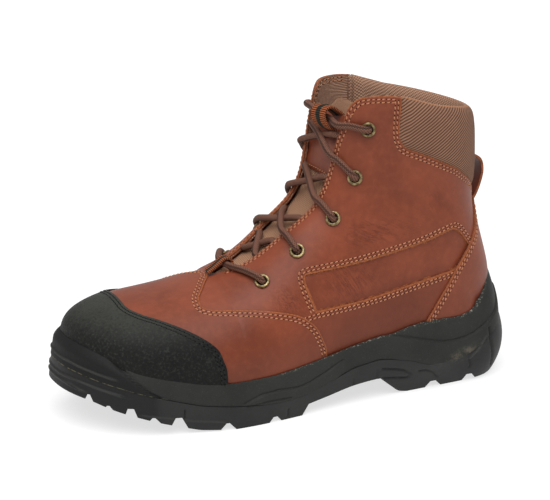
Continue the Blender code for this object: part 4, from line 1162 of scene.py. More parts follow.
def cuff_cloth(grid):
    """The cloth's own places on the cuff: how far up and over each section, and how far round the ankle."""
    steps = np.linalg.norm(np.diff(grid, axis=1, prepend=grid[:, :1]), axis=2)
    up = np.cumsum(steps, axis=1) + grid[:, :1, 2]
    middle = grid[:, grid.shape[1] // 4]
    round_ankle = np.cumsum(np.linalg.norm(np.diff(middle, axis=0, prepend=middle[:1]), axis=1))
    return np.stack((up, np.broadcast_to(round_ankle[:, None], up.shape)), axis=2).reshape(-1, 2)


def cuff_share(front_x):
    """The share of the collar's section that lies behind this x."""
    return crossing(
        lambda share: last_points(np.full(share.shape, CUFF_LEVEL), share, 1)[..., 0] < front_x,
        np.array([SIDE_BREAK]), np.array([1.0]),
    )[0]


def make_cuff():
    front = cuff_share(CUFF_FRONT_X)
    hidden = 1.0 - cuff_share(CUFF_SEEN_X) / front
    ring = closed_spline(CUFF_SECTION, 4)
    ring = np.vstack((ring, ring[:1]))
    turns = np.linspace(0.0, 1.0, len(ring))
    held = {}

    def shape(across, along):
        reach = 2.0 * along - 1.0
        from_end = 1.0 - np.abs(reach)
        side = np.where(reach >= 0.0, 1.0, -1.0)
        share = front * np.abs(reach)
        low = stations_under(CUFF_SEAM, share)
        high = stations_under(COLLAR_TOP, share)
        up = np.interp(across, turns, ring[:, 0])
        out = np.interp(across, turns, ring[:, 1])
        ends = soft_step(from_end, hidden, hidden + CUFF_SWELL)
        seen = soft_step(from_end, 0.5 * hidden, hidden)
        tuck = 1.0 - soft_step(from_end, 0.7 * hidden, hidden + 0.01)
        out = out * np.where(out > 0.0, 0.25 * seen + 0.75 * ends, 0.4 + 0.6 * ends) - CUFF_TUCK * tuck
        up = up * (0.95 + 0.05 * seen)
        station = np.minimum(low + up * (high - low), TOP_STATION - 0.02)
        points = lifted(station, share, side, out)
        held["seam"] = 1.0 - soft_step(np.abs(across - CUFF_SEAM_TURN), 0.004, 0.012)
        held["within"] = (across > CUFF_SEAM_TURN).astype(float)
        held["cloth"] = cuff_cloth(points.reshape(-1, len(ring), 3))
        return points, None

    cuff = net("collar_cuff_pad", len(ring) - 1, CUFF_ROWS, shape)
    set_cloth(cuff, held["cloth"])
    for mark in ("seam", "within"):
        set_mark(cuff, mark, held[mark])
    in_edit_mode(cuff, merge_doubles())
    in_edit_mode(cuff, lambda: bpy.ops.mesh.fill_holes(sides=0), face_out)
    finished(cuff, "textile_brown", (TWILL, NET_LINING), "collar_cuff")
    lined = np.zeros(len(cuff.data.vertices))
    cuff.data.attributes["within"].data.foreach_get("value", lined)
    cloth = []
    for face in cuff.data.polygons:
        corners = list(face.vertices)
        cloth.append(int(len(corners) > 4 or lined[corners].mean() > 0.5))
    cuff.data.polygons.foreach_set("material_index", cloth)
    smooth(cuff, 60.0)


# The tongue: a row for each station up the throat, with its half width, its depth below the edges and its
# middle's y.
TONGUE = np.array((
    (4.0, 13.0, 5.2, 0.0),
    (4.7, 16.0, 5.0, 0.0),
    (5.5, 19.0, 5.0, 0.0),
    (6.5, 22.0, 5.0, 0.0),
    (7.5, 23.5, 5.4, 0.0),
    (9.0, 24.0, 5.6, 0.0),
    (11.0, 24.0, 5.6, 1.5),
    (13.5, 21.0, 6.0, 5.0),
    (15.0, 18.5, 6.4, 7.5),
    (16.0, 16.5, 6.8, 8.5),
    (16.7, 14.0, 7.2, 9.0),
    (17.0, 9.0, 7.6, 9.5),
))
TONGUE_THICK = 6.0
TONGUE_PANEL = (9.6, 15.4)
TONGUE_PANEL_LIFT = 1.3


def throat_points(station, y, sink):
    """Points of the throat's surface: across the gap and on under the quarters, sunk along the section."""
    station, y, sink = np.broadcast_arrays(*(np.asarray(v, float) for v in (station, y, sink)))
    row = sections(station)
    gap = throat_gap(station)
    low = np.stack((row["low_x"], row["low_z"]), axis=-1)
    top = np.stack((row["top_x"], row["top_z"]), axis=-1)
    length = np.linalg.norm(top - low, axis=-1)
    half = np.where(y > 0.0, row["outer"], row["inner"])
    beyond = np.minimum(np.maximum(0.0, np.abs(y) - gap) / (half - gap), 0.9)
    level = np.sqrt(1.0 - beyond * beyond)
    drop = (1.0 - row["widest"]) * length
    slope = drop / (half - gap) * beyond / level
    fall = drop * (1.0 - level) + sink * np.hypot(1.0, slope)
    x, z = np.moveaxis(top - (top - low) / length[..., None] * fall[..., None], -1, 0)
    return np.stack((x, row["ridge_y"] + y, z), axis=-1)


def tongue_place(station, across, depth_share):
    """A point of the tongue: across from -1 to 1, and depth from its face (0) to its back (1)."""
    rows = [np.interp(station, TONGUE[:, 0], TONGUE[:, k]) for k in (1, 2, 3)]
    thick = TONGUE_THICK * (1.0 - 0.75 * np.abs(across) ** 4)
    pillow = 0.8 * (1.0 - across**2) * (1.0 - 2.0 * depth_share) * (depth_share < 0.5)
    return throat_points(station, rows[2] + across * rows[0], rows[1] - pillow * 0.6 + depth_share * thick)


def tongue_face(station, across, lift):
    """Points in front of the tongue's face, and the direction out of it."""
    points = tongue_place(station, across, 0.0)
    ahead = unit(np.stack((np.ones(len(points)), np.zeros(len(points)), np.full(len(points), 0.2)), axis=1))
    return points + ahead * lift, ahead


def make_tongue():
    def shape(across, along):
        station = TONGUE[0, 0] + (TONGUE[-1, 0] - TONGUE[0, 0]) * along
        front = across <= 0.5
        reach = np.where(front, 4.0 * across - 1.0, 3.0 - 4.0 * across)
        return tongue_place(station, reach, np.where(front, 0.0, 1.0)), None

    tongue = net("tongue_pad", 48, 110, shape, (96.0, 190.0))
    in_edit_mode(tongue, merge_doubles())
    in_edit_mode(tongue, lambda: bpy.ops.mesh.fill_holes(sides=0), face_out)
    finished(tongue, "textile_brown", (TONGUE_WEAVE,), "tongue")
    smooth(tongue, 60.0)

    def face(across, along):
        station = TONGUE_PANEL[0] + (TONGUE_PANEL[1] - TONGUE_PANEL[0]) * along
        return tongue_face(station, 1.8 * across - 0.9, TONGUE_PANEL_LIFT)

    leather = net("tongue_panel", 30, 40, face)
    set_mark(leather, "fold", np.zeros(len(leather.data.vertices)))
    finished(leather, "leather_brown", (LEATHER, RAW_EDGE))
    thicken(leather, 1.1)
    smooth(leather)


# Straps in side view: name, half width, thickness, its middle's y, how far it is set back across, and path.
STRAPS = (
    (
        "throat_loop", 3.6, 1.5, 0.0, 0.0,
        (
            (201.2, 83.2), (197.4, 85.6), (193.8, 88.4), (191.0, 90.4), (188.4, 90.9), (186.2, 89.8),
            (185.4, 87.5), (186.3, 85.2),
        ),
    ),
    (
        "tongue_loop", 5.5, 1.5, 7.0, 0.35,
        (
            (118.0, 165.4), (124.2, 166.9), (128.2, 170.0), (130.1, 175.5), (129.0, 179.6), (124.8, 180.7),
            (119.8, 177.4), (114.5, 172.6),
        ),
    ),
    (
        "heel_pull_loop", 7.0, 1.8, 0.0, 0.0,
        (
            (22.6, 110.0), (19.6, 115.0), (17.2, 121.0), (15.4, 128.5), (16.4, 135.4), (20.4, 139.0),
            (25.0, 140.4),
        ),
    ),
)


# The width of a strap in its own UV map.
WEBBING_WIDE = 10.0


def make_straps():
    for name, half_width, thick, middle_y, set_back, path in STRAPS:
        line = resampled(smooth_line(path, 10), 60)
        ahead = unit(np.gradient(line, axis=0))
        run = np.linspace(0.0, 1.0, len(line))
        lay = (line, ahead, run, half_width, middle_y, set_back)

        def shape(across, along, lay=lay):
            line, ahead, run, half_width, middle_y, set_back = lay
            spot, way = at_places(along, run, line), at_places(along, run, ahead)
            y = (2.0 * across - 1.0) * half_width
            points = np.stack((spot[:, 0] - set_back * y, middle_y + y, spot[:, 1]), axis=1)
            return points, np.stack((-way[:, 1], np.zeros(len(way)), way[:, 0]), axis=1)

        strap = net(f"{name}_strap", 12, 59, shape, (WEBBING_WIDE, steps_of(line).sum()))
        leather = name == "heel_pull_loop"
        set_mark(strap, "fold", np.zeros(len(strap.data.vertices)))
        finishes = (LEATHER, RAW_EDGE) if leather else (WEBBING, WEBBING)
        finished(strap, "leather_brown" if leather else "webbing_orange", finishes, name)
        apply(strap, "SOLIDIFY", thickness=thick * MM, offset=0.0, material_offset_rim=1)
        apply(strap, "BEVEL", width=0.3 * MM, segments=2, limit_method="ANGLE")
        smooth(strap, 50.0)


def make_eyelets():
    """A rolled brass ring with its barrel, modelled once and copied to each hole."""
    bpy.ops.object.select_all(action="DESELECT")
    bpy.ops.mesh.primitive_torus_add(
        major_radius=0.5 * (EYELET_FLANGE_R + EYELET_HOLE_R) * MM,
        minor_radius=0.5 * (EYELET_FLANGE_R - EYELET_HOLE_R) * MM, major_segments=40, minor_segments=14,
    )
    ring = bpy.context.object
    bpy.ops.object.mode_set(mode="EDIT")
    bpy.ops.transform.resize(value=(1.0, 1.0, 0.75))
    bpy.ops.mesh.primitive_cylinder_add(
        vertices=40, radius=(EYELET_HOLE_R + 0.3) * MM, depth=3.0 * MM, end_fill_type="NOTHING",
        location=(0.0, 0.0, -1.5 * MM),
    )
    bpy.ops.object.mode_set(mode="OBJECT")
    for side, word in SIDES:
        for k, row in enumerate(EYELETS):
            centre, out = eyelet_frame(row, side)
            turn = Vector(out).to_track_quat("Z", "Y").to_matrix().to_4x4()
            spot = Matrix.Translation(Vector((centre + out * 0.75 - ORIGIN) * MM))
            copy = bpy.data.objects.new(f"eyelet_ring_{word}_{k + 1}", ring.data.copy())
            bpy.context.scene.collection.objects.link(copy)
            copy.data.transform(spot @ turn)
            finished(copy, "brass_antique", (BRASS,), f"eyelet_{word}_{k + 1}")
            smooth(copy, 60.0)
    bpy.data.objects.remove(ring)


# How far below its eyelets each bar of the lace bends over the edge, in stations, and the low bar's rise.
BAR_LOW = -0.58
BAR_LOW_SINK = -2.8
BAR_TOP = -0.6
# The top bar's way through the tongue's loop, and how much lower it crosses the near edge.
LOOP_WAY = ((122.6, 9.0, 172.4), (126.0, 2.0, 174.6), (127.6, -5.0, 177.0))
LOOP_DROP = 0.7
STRAND_OVER = 0.04
STRAND_END = 0.46
STRAND_MIDDLE_SINK = -1.2
# How much higher the strand of each side lies where the two cross.
STRAND_RISE = {1: 1.6, -1: -0.6}
INSIDE_START = 0.3
INSIDE_END = 0.75
INSIDE_MIDDLE_SINK = 0.2
LACE_FROM_EDGE = 3.6
LACE_END_SINK = 1.0
LACE_OVER = LACE_R + 0.5
LACE_SIDES = 14
# A cord's steps along it, the fewest that it has, and the direction that its braid is measured from.
CORD_STEP = 0.9
CORD_FEWEST = 24
CORD_UP = (0.35, 0.1, 1.0)


def over_leather(station, share, side):
    return lifted(np.array(station), np.array(share), np.array(float(side)), LACE_OVER)


def out_of_eyelet(row, edge, side):
    """A strand's start: up through its eyelet, then over the leather to a station of the throat's edge."""
    station, share = eyelet_spot(row, side)
    centre, out = eyelet_frame(row, side)
    bend = over_leather(station + 0.16 * (edge - station), share + 0.16 * (1.0 - share), side)
    return [
        centre - out * 5.0, centre - out * 1.5, centre + out * 1.6, bend + out * 0.7,
        over_leather(0.5 * (station + edge), 0.5 * (share + 1.0), side), over_leather(edge, 1.0, side),
    ]


def edge_station(row):
    return eyelet_spot(row, 1)[0]


def cord(name, route):
    """A round cord through the route's points, with its own UV map along and around it."""
    line = smooth_line(route, 14)
    line = resampled(line, max(CORD_FEWEST, int(steps_of(line).sum() / CORD_STEP)))
    ahead = unit(np.gradient(line, axis=0))
    first = unit(np.cross(ahead, CORD_UP))
    second = np.cross(ahead, first)
    run = np.linspace(0.0, 1.0, len(line))

    def shape(across, along):
        spot, one, two = (at_places(along, run, part) for part in (line, first, second))
        turn = TURN * across
        return spot + LACE_R * (np.cos(turn)[:, None] * one + np.sin(turn)[:, None] * two), None

    made = net(name, LACE_SIDES, len(line) - 1, shape, (1.0, steps_of(line).sum()))
    in_edit_mode(made, merge_doubles(0.01))
    in_edit_mode(made, lambda: bpy.ops.mesh.fill_holes(sides=0), face_out)
    smooth(made, 60.0)
    return made


def make_lace():
    for k in range(1, len(EYELETS) - 1):
        low, high = edge_station(EYELETS[k]), edge_station(EYELETS[k + 1])
        start, end = low + STRAND_OVER * (high - low), low + STRAND_END * (high - low)
        strands = []
        for side, word in SIDES:
            middle = throat_points(0.5 * (start + end), 0.0, STRAND_MIDDLE_SINK - STRAND_RISE[side])
            far = throat_points(end, -side * (throat_gap(end) - LACE_FROM_EDGE), LACE_END_SINK)
            under = throat_points(end + 0.1 * (high - low), -side * (throat_gap(end) + 2.5), 4.0)
            route = [*out_of_eyelet(EYELETS[k], start, side), middle, far, under]
            strands.append(cord(f"strand_{word}", route))
        pair = joined(*strands)
        pair.name = pair.data.name = f"lace_pair_{k + 1}"
        finished(pair, "lace_brown", (LACE,), f"lace_cross_{k + 1}")
    low, high = edge_station(EYELETS[0]), edge_station(EYELETS[1])
    strands = []
    for side, word in SIDES:
        near, far = low + INSIDE_START * (high - low), low + INSIDE_END * (high - low)
        route = [
            throat_points(near, side * (throat_gap(near) + 1.0), LACE_END_SINK + 1.5),
            throat_points(near, side * (throat_gap(near) - LACE_FROM_EDGE), LACE_END_SINK),
            throat_points(0.5 * (near + far), 0.0, INSIDE_MIDDLE_SINK - 0.8 * side),
            throat_points(far, -side * (throat_gap(far) - LACE_FROM_EDGE), LACE_END_SINK),
            throat_points(far, -side * (throat_gap(far) + 1.0), LACE_END_SINK + 1.5),
        ]
        strands.append(cord(f"strand_{word}", route))
    pair = joined(*strands)
    pair.name = pair.data.name = "lace_pair_1"
    finished(pair, "lace_brown", (LACE,), "lace_cross_1")
    low, top = edge_station(EYELETS[0]) + BAR_LOW, edge_station(EYELETS[-1]) + BAR_TOP
    over_throat = [throat_points(low, 0.0, BAR_LOW_SINK)]
    through_loop = [np.array(p) for p in LOOP_WAY]
    for name, row, near, far, middle in (
        ("lace_bar_1", EYELETS[0], low, low, over_throat),
        ("lace_bar_5", EYELETS[-1], top - LOOP_DROP, top, through_loop),
    ):
        route = [*out_of_eyelet(row, near, 1), *middle, *out_of_eyelet(row, far, -1)[::-1]]
        finished(cord(f"{name}_cord", route), "lace_brown", (LACE,), name)


STITCH_LONG = 2.2
STITCH_PITCH = 3.1
STITCH_R = 0.45
STITCH_LEAN = 0.22
STITCH_ROWS = (1.9, 3.9)
HOLE_HALF_LONG = 0.5
HOLE_HALF_WIDE = 0.38
HOLE_CORNERS = 7
HOLE_LIFT = 0.05
ASIDE_STEPS = 5


def on_surface(line, side, aside, lift):
    """A line of stations and shares, moved aside along the surface, as points and directions out."""
    station, share = line.T
    sides = np.full(len(line), float(side))
    for _ in range(ASIDE_STEPS):
        normals = last_normals(station, share, sides)
        ground = last_points(station, share, sides)
        way = np.cross(normals, unit(np.gradient(ground, axis=0))) * aside / ASIDE_STEPS
        metric = np.stack(tangents(station, share, sides), axis=2)
        move = np.einsum("nij,nj->ni", np.linalg.pinv(metric), way)
        station = np.clip(station + move[:, 0], 0.02, TOP_STATION - 0.02)
        share = np.clip(share + move[:, 1], 0.0, 1.0)
    ground = last_points(station, share, sides)
    normals = last_normals(station, share, sides)
    return ground + normals * (lift + folds(ground, side))[:, None], normals


def row_places(line, normals, start):
    """Places a pitch apart along a row, with the directions ahead, beside and out."""
    run = run_of(line)
    spots = np.arange(start, run[-1] - 0.3 * STITCH_PITCH, STITCH_PITCH)
    centre, out = at_places(spots, run, line), unit(at_places(spots, run, normals))
    ahead = at_places(spots, run, np.gradient(line, run, axis=0))
    ahead = unit(ahead - out * (ahead * out).sum(axis=1)[:, None])
    return zip(centre, ahead, np.cross(out, ahead), out)


def stitch_mesh(name, rows, thread, hole, slot):
    """Rows of stitches and needle holes, dark discs of painted shade, as one mesh: a bead is modelled once
    and copied along each row.
    """
    bpy.ops.object.select_all(action="DESELECT")
    bpy.ops.mesh.primitive_uv_sphere_add(segments=6, ring_count=5, radius=1.0)
    bead = bpy.context.object
    shape = np.array([tuple(v.co) for v in bead.data.vertices])
    sides = [list(face.vertices) for face in bead.data.polygons]
    bpy.data.objects.remove(bead)
    points, faces, holes = [], [], []
    for line, normals in rows:
        for c, a, b, n in row_places(line, normals, 0.5 * STITCH_PITCH):
            leaned = unit(a + STITCH_LEAN * b)
            base = len(points)
            long = shape[:, 2:3] * 0.5 * STITCH_LONG * leaned
            thick = shape[:, 0:1] * np.cross(n, leaned) + shape[:, 1:2] * n * 0.9
            points.extend(c + long + STITCH_R * thick)
            faces.extend([[base + k for k in side] for side in sides])
    threads = len(faces)
    turn = np.linspace(0.0, TURN, HOLE_CORNERS, endpoint=False)[:, None]
    for line, normals in rows:
        for c, a, b, n in row_places(line, normals, STITCH_PITCH):
            base = len(points)
            ring = HOLE_HALF_LONG * np.cos(turn) * a + HOLE_HALF_WIDE * np.sin(turn) * b
            points.extend(c + HOLE_LIFT * n + ring)
            holes.append(list(range(base, base + HOLE_CORNERS)))
    piece = from_faces(name, points, faces + holes)
    finished(piece, slot, (thread, hole))
    look = np.zeros(len(faces + holes), np.int32)
    look[threads:] = 1
    piece.data.polygons.foreach_set("material_index", look)
    smooth(piece, 180.0)


def band_rows(side):
    """The window's upper edge with its front corner, and the lower panel's edge as far as the vamp."""
    low = smooth_line((*BAND_LOW, LOW_PANEL_FRONT), 8)
    return place(resampled(smooth_line(BAND_TOP, 8), 160), side), place(resampled(low, 120), side)


def make_stitches():
    tan, black = [], []
    for side, _ in SIDES:
        for row in STITCH_ROWS:
            aside = row * side
            black.append(on_surface(cap_line(side)[:-14], side, -aside, CAP_LIFT))
            tan.append(on_surface(vamp_line(side, 260)[:-34], side, -aside, VAMP_LIFT))
            tan.append(on_surface(counter_line(side)[2:-3], side, -aside, COUNTER_LIFT))
            tan.append(on_surface(cuff_line(side), side, aside, 0.0))
            edge = np.vstack((quarter_top_line(side)[2:-2], throat_line(quarter_top_line(side)[-1, 0])[6:-4]))
            tan.append(on_surface(edge, side, aside, 0.0))
            points, normals = on_surface(edge, side, aside, LINING_LIFT - LINING_THICK)
            tan.append((points, -normals))
            tan.extend(on_surface(line, side, aside, 0.0) for line in band_rows(side))
    across = np.linspace(-0.86, 0.86, 60)
    tan.append(tongue_face(np.full(60, TONGUE_PANEL[0] + 0.12), across, TONGUE_PANEL_LIFT))
    stitch_mesh("stitches_tan", tan, THREAD_TAN, HOLE_SHADE_BROWN, "leather_brown")
    stitch_mesh("stitches_black", black, THREAD_BLACK, HOLE_SHADE_BLACK, "cap_black")


OUTLINE_TOE = 40
OUTLINE_SIDE = 260


def sole_stations():
    toe = TOE_STATION * toe_spread(np.linspace(0.0, 1.0, OUTLINE_TOE, endpoint=False))
    return np.concatenate((toe, np.linspace(TOE_STATION, HEEL_STATION, OUTLINE_SIDE)))


def sole_outline():
    """The feather line from the toe along the outer side to the heel and back, and its directions out."""
    stations = sole_stations()
    stations[0] = 1e-6
    outer = last_points(stations, 0.0, 1)
    inner = last_points(stations[1:-1], 0.0, -1)[::-1]
    line = np.vstack((outer, inner))
    ahead = np.roll(line, -1, axis=0) - np.roll(line, 1, axis=0)
    normals = unit(np.stack((ahead[:, 1], -ahead[:, 0], np.zeros(len(line))), axis=1))
    for _ in range(6):
        normals = unit(np.roll(normals, 1, axis=0) + 2.0 * normals + np.roll(normals, -1, axis=0))
    return line, normals, np.concatenate((stations, stations[1:-1][::-1]))


FEATHER, FEATHER_NORMALS, FEATHER_STATIONS = sole_outline()


def sole_values(x):
    """The sole's side at any x, smoothed between the table's rows."""
    spread = np.linspace(-4.0, 4.0, 7)
    weight = np.exp(-((spread / 2.5) ** 2))
    weight = weight / weight.sum()
    values = {}
    for k, name in enumerate(SOLE_COLUMNS):
        values[name] = sum(w * np.interp(x + s, SOLE[:, 0], SOLE[:, k]) for s, w in zip(spread, weight))
    return values


SOLE_ROW = sole_values(FEATHER[:, 0])


def line_gap(line, x, z):
    """Height above a side-view line, given as z over x."""
    rows = np.array(sorted(line))
    return z - np.interp(x, rows[:, 0], rows[:, 1])


# Lines moulded in the sole's sides, as x and z: edges where the midsole steps, then the others.
HEEL_CUP_EDGE = (
    (93.7, 40.0), (82.0, 37.0), (72.6, 34.4), (59.1, 30.8), (48.5, 30.4), (41.2, 31.0), (33.9, 33.0),
    (26.1, 36.4), (15.6, 42.0), (8.0, 47.5), (3.0, 53.0), (0.0, 58.0),
)
FORE_WAVE = (
    (198.9, 15.6), (187.6, 19.3), (175.4, 20.0), (161.9, 19.2), (154.1, 20.5), (142.0, 25.0), (130.0, 30.5),
)
BUMPER_EDGE = ((272.6, 45.0), (270.1, 41.6), (267.8, 39.2), (262.6, 33.2), (255.7, 27.4), (250.1, 24.6))
# Each with its height out of the side, or depth, and its half width.
MOULDED_LINES = (
    (-1.1, 0.8, BUMPER_EDGE),
    (-0.6, 0.6, HEEL_CUP_EDGE),
    (-0.6, 0.6, FORE_WAVE),
    (-0.6, 0.6, ((197.6, 13.7), (182.2, 14.6), (168.0, 14.2))),
    (
        -0.9, 0.7,
        (
            (101.4, 19.6), (92.1, 17.8), (85.7, 16.0), (81.0, 12.8), (81.6, 10.6), (83.9, 10.4),
            (101.4, 13.2),
        ),
    ),
    (-0.8, 0.5, ((104.9, 20.0), (104.9, 13.8))),
    (-0.8, 0.6, ((75.1, 13.8), (70.4, 13.8), (65.2, 11.6), (61.1, 7.2))),
    (0.8, 0.6, ((38.9, 16.8), (32.4, 22.2), (26.5, 29.0))),
    (-0.8, 0.6, ((39.3, 16.4), (37.3, 12.4), (38.3, 10.2))),
    (-1.2, 0.8, ((23.3, 33.8), (22.2, 25.2), (20.5, 16.8), (19.5, 8.0))),
    (-0.8, 0.5, ((122.4, 16.6), (122.3, 13.1))),
    (-0.8, 0.5, ((235.4, 15.9), (235.5, 10.5))),
    (-0.8, 0.5, ((169.0, 6.5), (169.0, 2.3))),
    (0.6, 0.6, ((260.2, 13.8), (241.6, 10.7))),
    (0.6, 0.6, ((234.5, 8.9), (212.0, 5.9))),
)
# Ribs round the toe, as z over the feather line's x.
TOE_RIBS = (
    ((267.4, 35.4), (276.0, 38.0), (281.8, 39.8), (286.0, 41.2), (288.0, 41.4)),
    ((264.2, 25.2), (274.1, 28.4), (282.1, 31.0), (286.4, 31.6), (288.0, 31.6)),
    ((280.6, 25.4), (283.8, 26.8), (286.3, 28.0), (288.0, 28.2)),
)
TOE_RIB_HIGH = 0.9
TOE_RIB_HALF = 0.65
# Where the ribs' marks, a painted highlight along them, begin, how far the side lies in front of the feather
# line there, and its last x.
RIB_MARK_FROM = 262.0
RIB_MARK_AHEAD = 6.6
RIB_MARK_LAST = 287.0
# The dusty place on the heel's outer side, as x and z, its half sizes and its slope.
DUST_AT = (45.0, 20.0)
DUST_HALF = (14.0, 3.5)
DUST_SLOPE = 0.25


def moulded(x, z):
    """How far the moulded lines stand out of the side at these places."""
    spots = np.stack((x, z), axis=-1)
    total = np.zeros(len(spots))
    for high, half, line in MOULDED_LINES:
        gap = np.full(len(spots), np.inf)
        for start, end in zip(np.array(line[:-1]), np.array(line[1:])):
            way = end - start
            share = np.clip((spots - start) @ way / (way @ way), 0.0, 1.0)
            gap = np.minimum(gap, np.linalg.norm(spots - start - share[:, None] * way, axis=1))
        total += high * np.exp(-((gap / half) ** 2))
    return total


def toe_ribs(x, z):
    """How far the toe's ribs stand out, from the feather line's x and the height."""
    total = np.zeros(len(x))
    for line in TOE_RIBS:
        fade = soft_step(x, line[0][0] - 1.0, line[0][0] + 1.0)
        total += TOE_RIB_HIGH * fade * np.exp(-((line_gap(line, x, z) / TOE_RIB_HALF) ** 2))
    return total


def bumper_share(x, z):
    """1 on the toe bumper, which lies in front of its edge."""
    bumper = soft_step(line_gap(BUMPER_EDGE, x, z), 0.5, -0.5) * soft_step(x, 248.0, 254.0)
    return np.where(x > BUMPER_EDGE[0][0], 1.0, bumper)


def midsole_relief(x, z):
    """The moulded steps of the midsole's side: heel cup, forefoot wave and toe bumper."""
    cup = soft_step(line_gap(HEEL_CUP_EDGE, x, z), 0.5, -0.5) * (1.0 - soft_step(x, 86.0, 97.0))
    wave = soft_step(line_gap(FORE_WAVE, x, z), 0.5, -0.5)
    wave = wave * soft_step(x, 128.0, 138.0) * (1.0 - soft_step(x, 192.0, 204.0))
    return 1.2 * cup + 1.0 * wave + 1.0 * bumper_share(x, z)


# The bumper's rounded top: how deep it is, over what share of the midsole's side, and where it fades out.
SHOULDER_DEEP = 3.2
SHOULDER_SHARE = 0.38
SHOULDER_FADE = (263.0, 270.0)


def side_loop(top, low, share, spare=0.0):
    """One line round the sole, part of the way down from one named height to another."""
    row = SOLE_ROW
    out = row[top + "_out"] + share * (row[low + "_out"] - row[top + "_out"])
    z = row[top + "_z"] + share * (row[low + "_z"] - row[top + "_z"])
    midsole = (top, low) == ("rim", "part")
    half_way = row["belly_out"] if midsole else row["lug_out"]
    out = out + (half_way - 0.5 * (row[top + "_out"] + row[low + "_out"])) * 4.0 * share * (1.0 - share)
    out = out + spare * max(0.0, 1.0 - 1.5 * share) ** 2
    if midsole:
        shoulder = SHOULDER_DEEP * max(0.0, 1.0 - share / SHOULDER_SHARE) ** 2
        out = out - shoulder * soft_step(FEATHER[:, 0], *SHOULDER_FADE)
    x = FEATHER[:, 0] + FEATHER_NORMALS[:, 0] * out
    out = out + toe_ribs(FEATHER[:, 0], z) + moulded(x, z)
    if midsole:
        out = out + midsole_relief(x, z) - 0.6
    line = FEATHER + FEATHER_NORMALS * out[:, None]
    line[:, 2] = z
    return line


def mark_sole(piece):
    """Marks the moulded lines, for painted shade in their grooves and a painted highlight on their ridges,
    the bumper and the dusty heel side for the sole's finishes.
    """
    places = np.zeros(3 * len(piece.data.vertices))
    piece.data.vertices.foreach_get("co", places)
    x, y, z = (places.reshape(-1, 3) / MM + ORIGIN).T
    lines = moulded(x, z)
    set_mark(piece, "groove", np.clip(-lines, 0.0, 1.0))
    ribs = toe_ribs(np.minimum(x - RIB_MARK_AHEAD, RIB_MARK_LAST), z)
    ribs = np.where(x > RIB_MARK_FROM, ribs, 0.0)
    set_mark(piece, "ridge", np.clip(lines + ribs, 0.0, 1.0))
    set_mark(piece, "bumper", np.where(x > 246.0, bumper_share(x, z), 0.0))
    along = (x - DUST_AT[0]) / DUST_HALF[0]
    above = (z - DUST_AT[1] - DUST_SLOPE * (DUST_AT[0] - x)) / DUST_HALF[1]
    set_mark(piece, "dust", np.exp(-(along**2) - above**2) * (y > 0.0))


def stack(name, loops):
    """A closed solid through loops from top to bottom, its lids bridged from side to side."""
    count = len(loops[0])
    paired = (count + 2) // 2
    faces = []
    for level in range(len(loops) - 1):
        base = level * count
        for k in range(count):
            after = (k + 1) % count
            faces.append([base + k, base + after, base + count + after, base + count + k])
    for base in (0, (len(loops) - 1) * count):
        for k in range(paired - 1):
            ring = [base + k, base + k + 1, base + (count - k - 1) % count, base + (count - k) % count]
            faces.append([corner for m, corner in enumerate(ring) if corner != ring[m - 1]])
    piece = from_faces(name, np.vstack(loops), faces)
    in_edit_mode(piece, face_out)
    return piece


def seat_lift():
    """How far the layers of the upper stand out of the last where the sole's rim meets them."""
    lift = VAMP_LIFT * (1.0 - soft_step(FEATHER_STATIONS, 6.6, 6.9))
    lift = lift + (CAP_LIFT - VAMP_LIFT) * (1.0 - soft_step(FEATHER_STATIONS, 3.75, 3.95))
    return lift + COUNTER_LIFT * soft_step(FEATHER_STATIONS, 8.7, 9.0)


WALL_ROWS = 60
# Where the painted glint along the rim's top edge ends towards the toe, and where the flash along the
# midsole's foot begins.
RIM_GLINT_FADE = (130.0, 200.0)
FLASH_FADE = (236.0, 250.0)
RIM_WIDE = 0.9
RIM_SINK = 0.5
SLICE_HALF = 1.2
SLICE_STATIONS = np.linspace(0.0, 15.0, 400)
SLICE_SHARES = np.linspace(0.0, 0.7, 90)


def last_cloud():
    """Points close together all over the lower part of the last."""
    station, share = (grid.ravel() for grid in np.meshgrid(SLICE_STATIONS, SLICE_SHARES))
    return np.vstack([last_points(station, share, np.full(len(station), float(side))) for side, _ in SIDES])


LAST_CLOUD = last_cloud()


def reach_at(height):
    """How far out of the feather line the last lies at a height, at each place round it."""
    reach = np.full(len(FEATHER), np.nan)
    for k, (point, normal) in enumerate(zip(FEATHER, FEATHER_NORMALS)):
        level = LAST_CLOUD[np.abs(LAST_CLOUD[:, 2] - height[k]) < SLICE_HALF] - point
        beside = np.abs(level[:, 0] * normal[1] - level[:, 1] * normal[0]) < SLICE_HALF
        if beside.any():
            reach[k] = (level[beside] @ normal).max()
    found = np.isfinite(reach)
    reach = np.interp(np.arange(len(reach)), np.flatnonzero(found), reach[found])
    for _ in range(8):
        reach = 0.25 * np.roll(reach, 1) + 0.5 * reach + 0.25 * np.roll(reach, -1)
    return reach


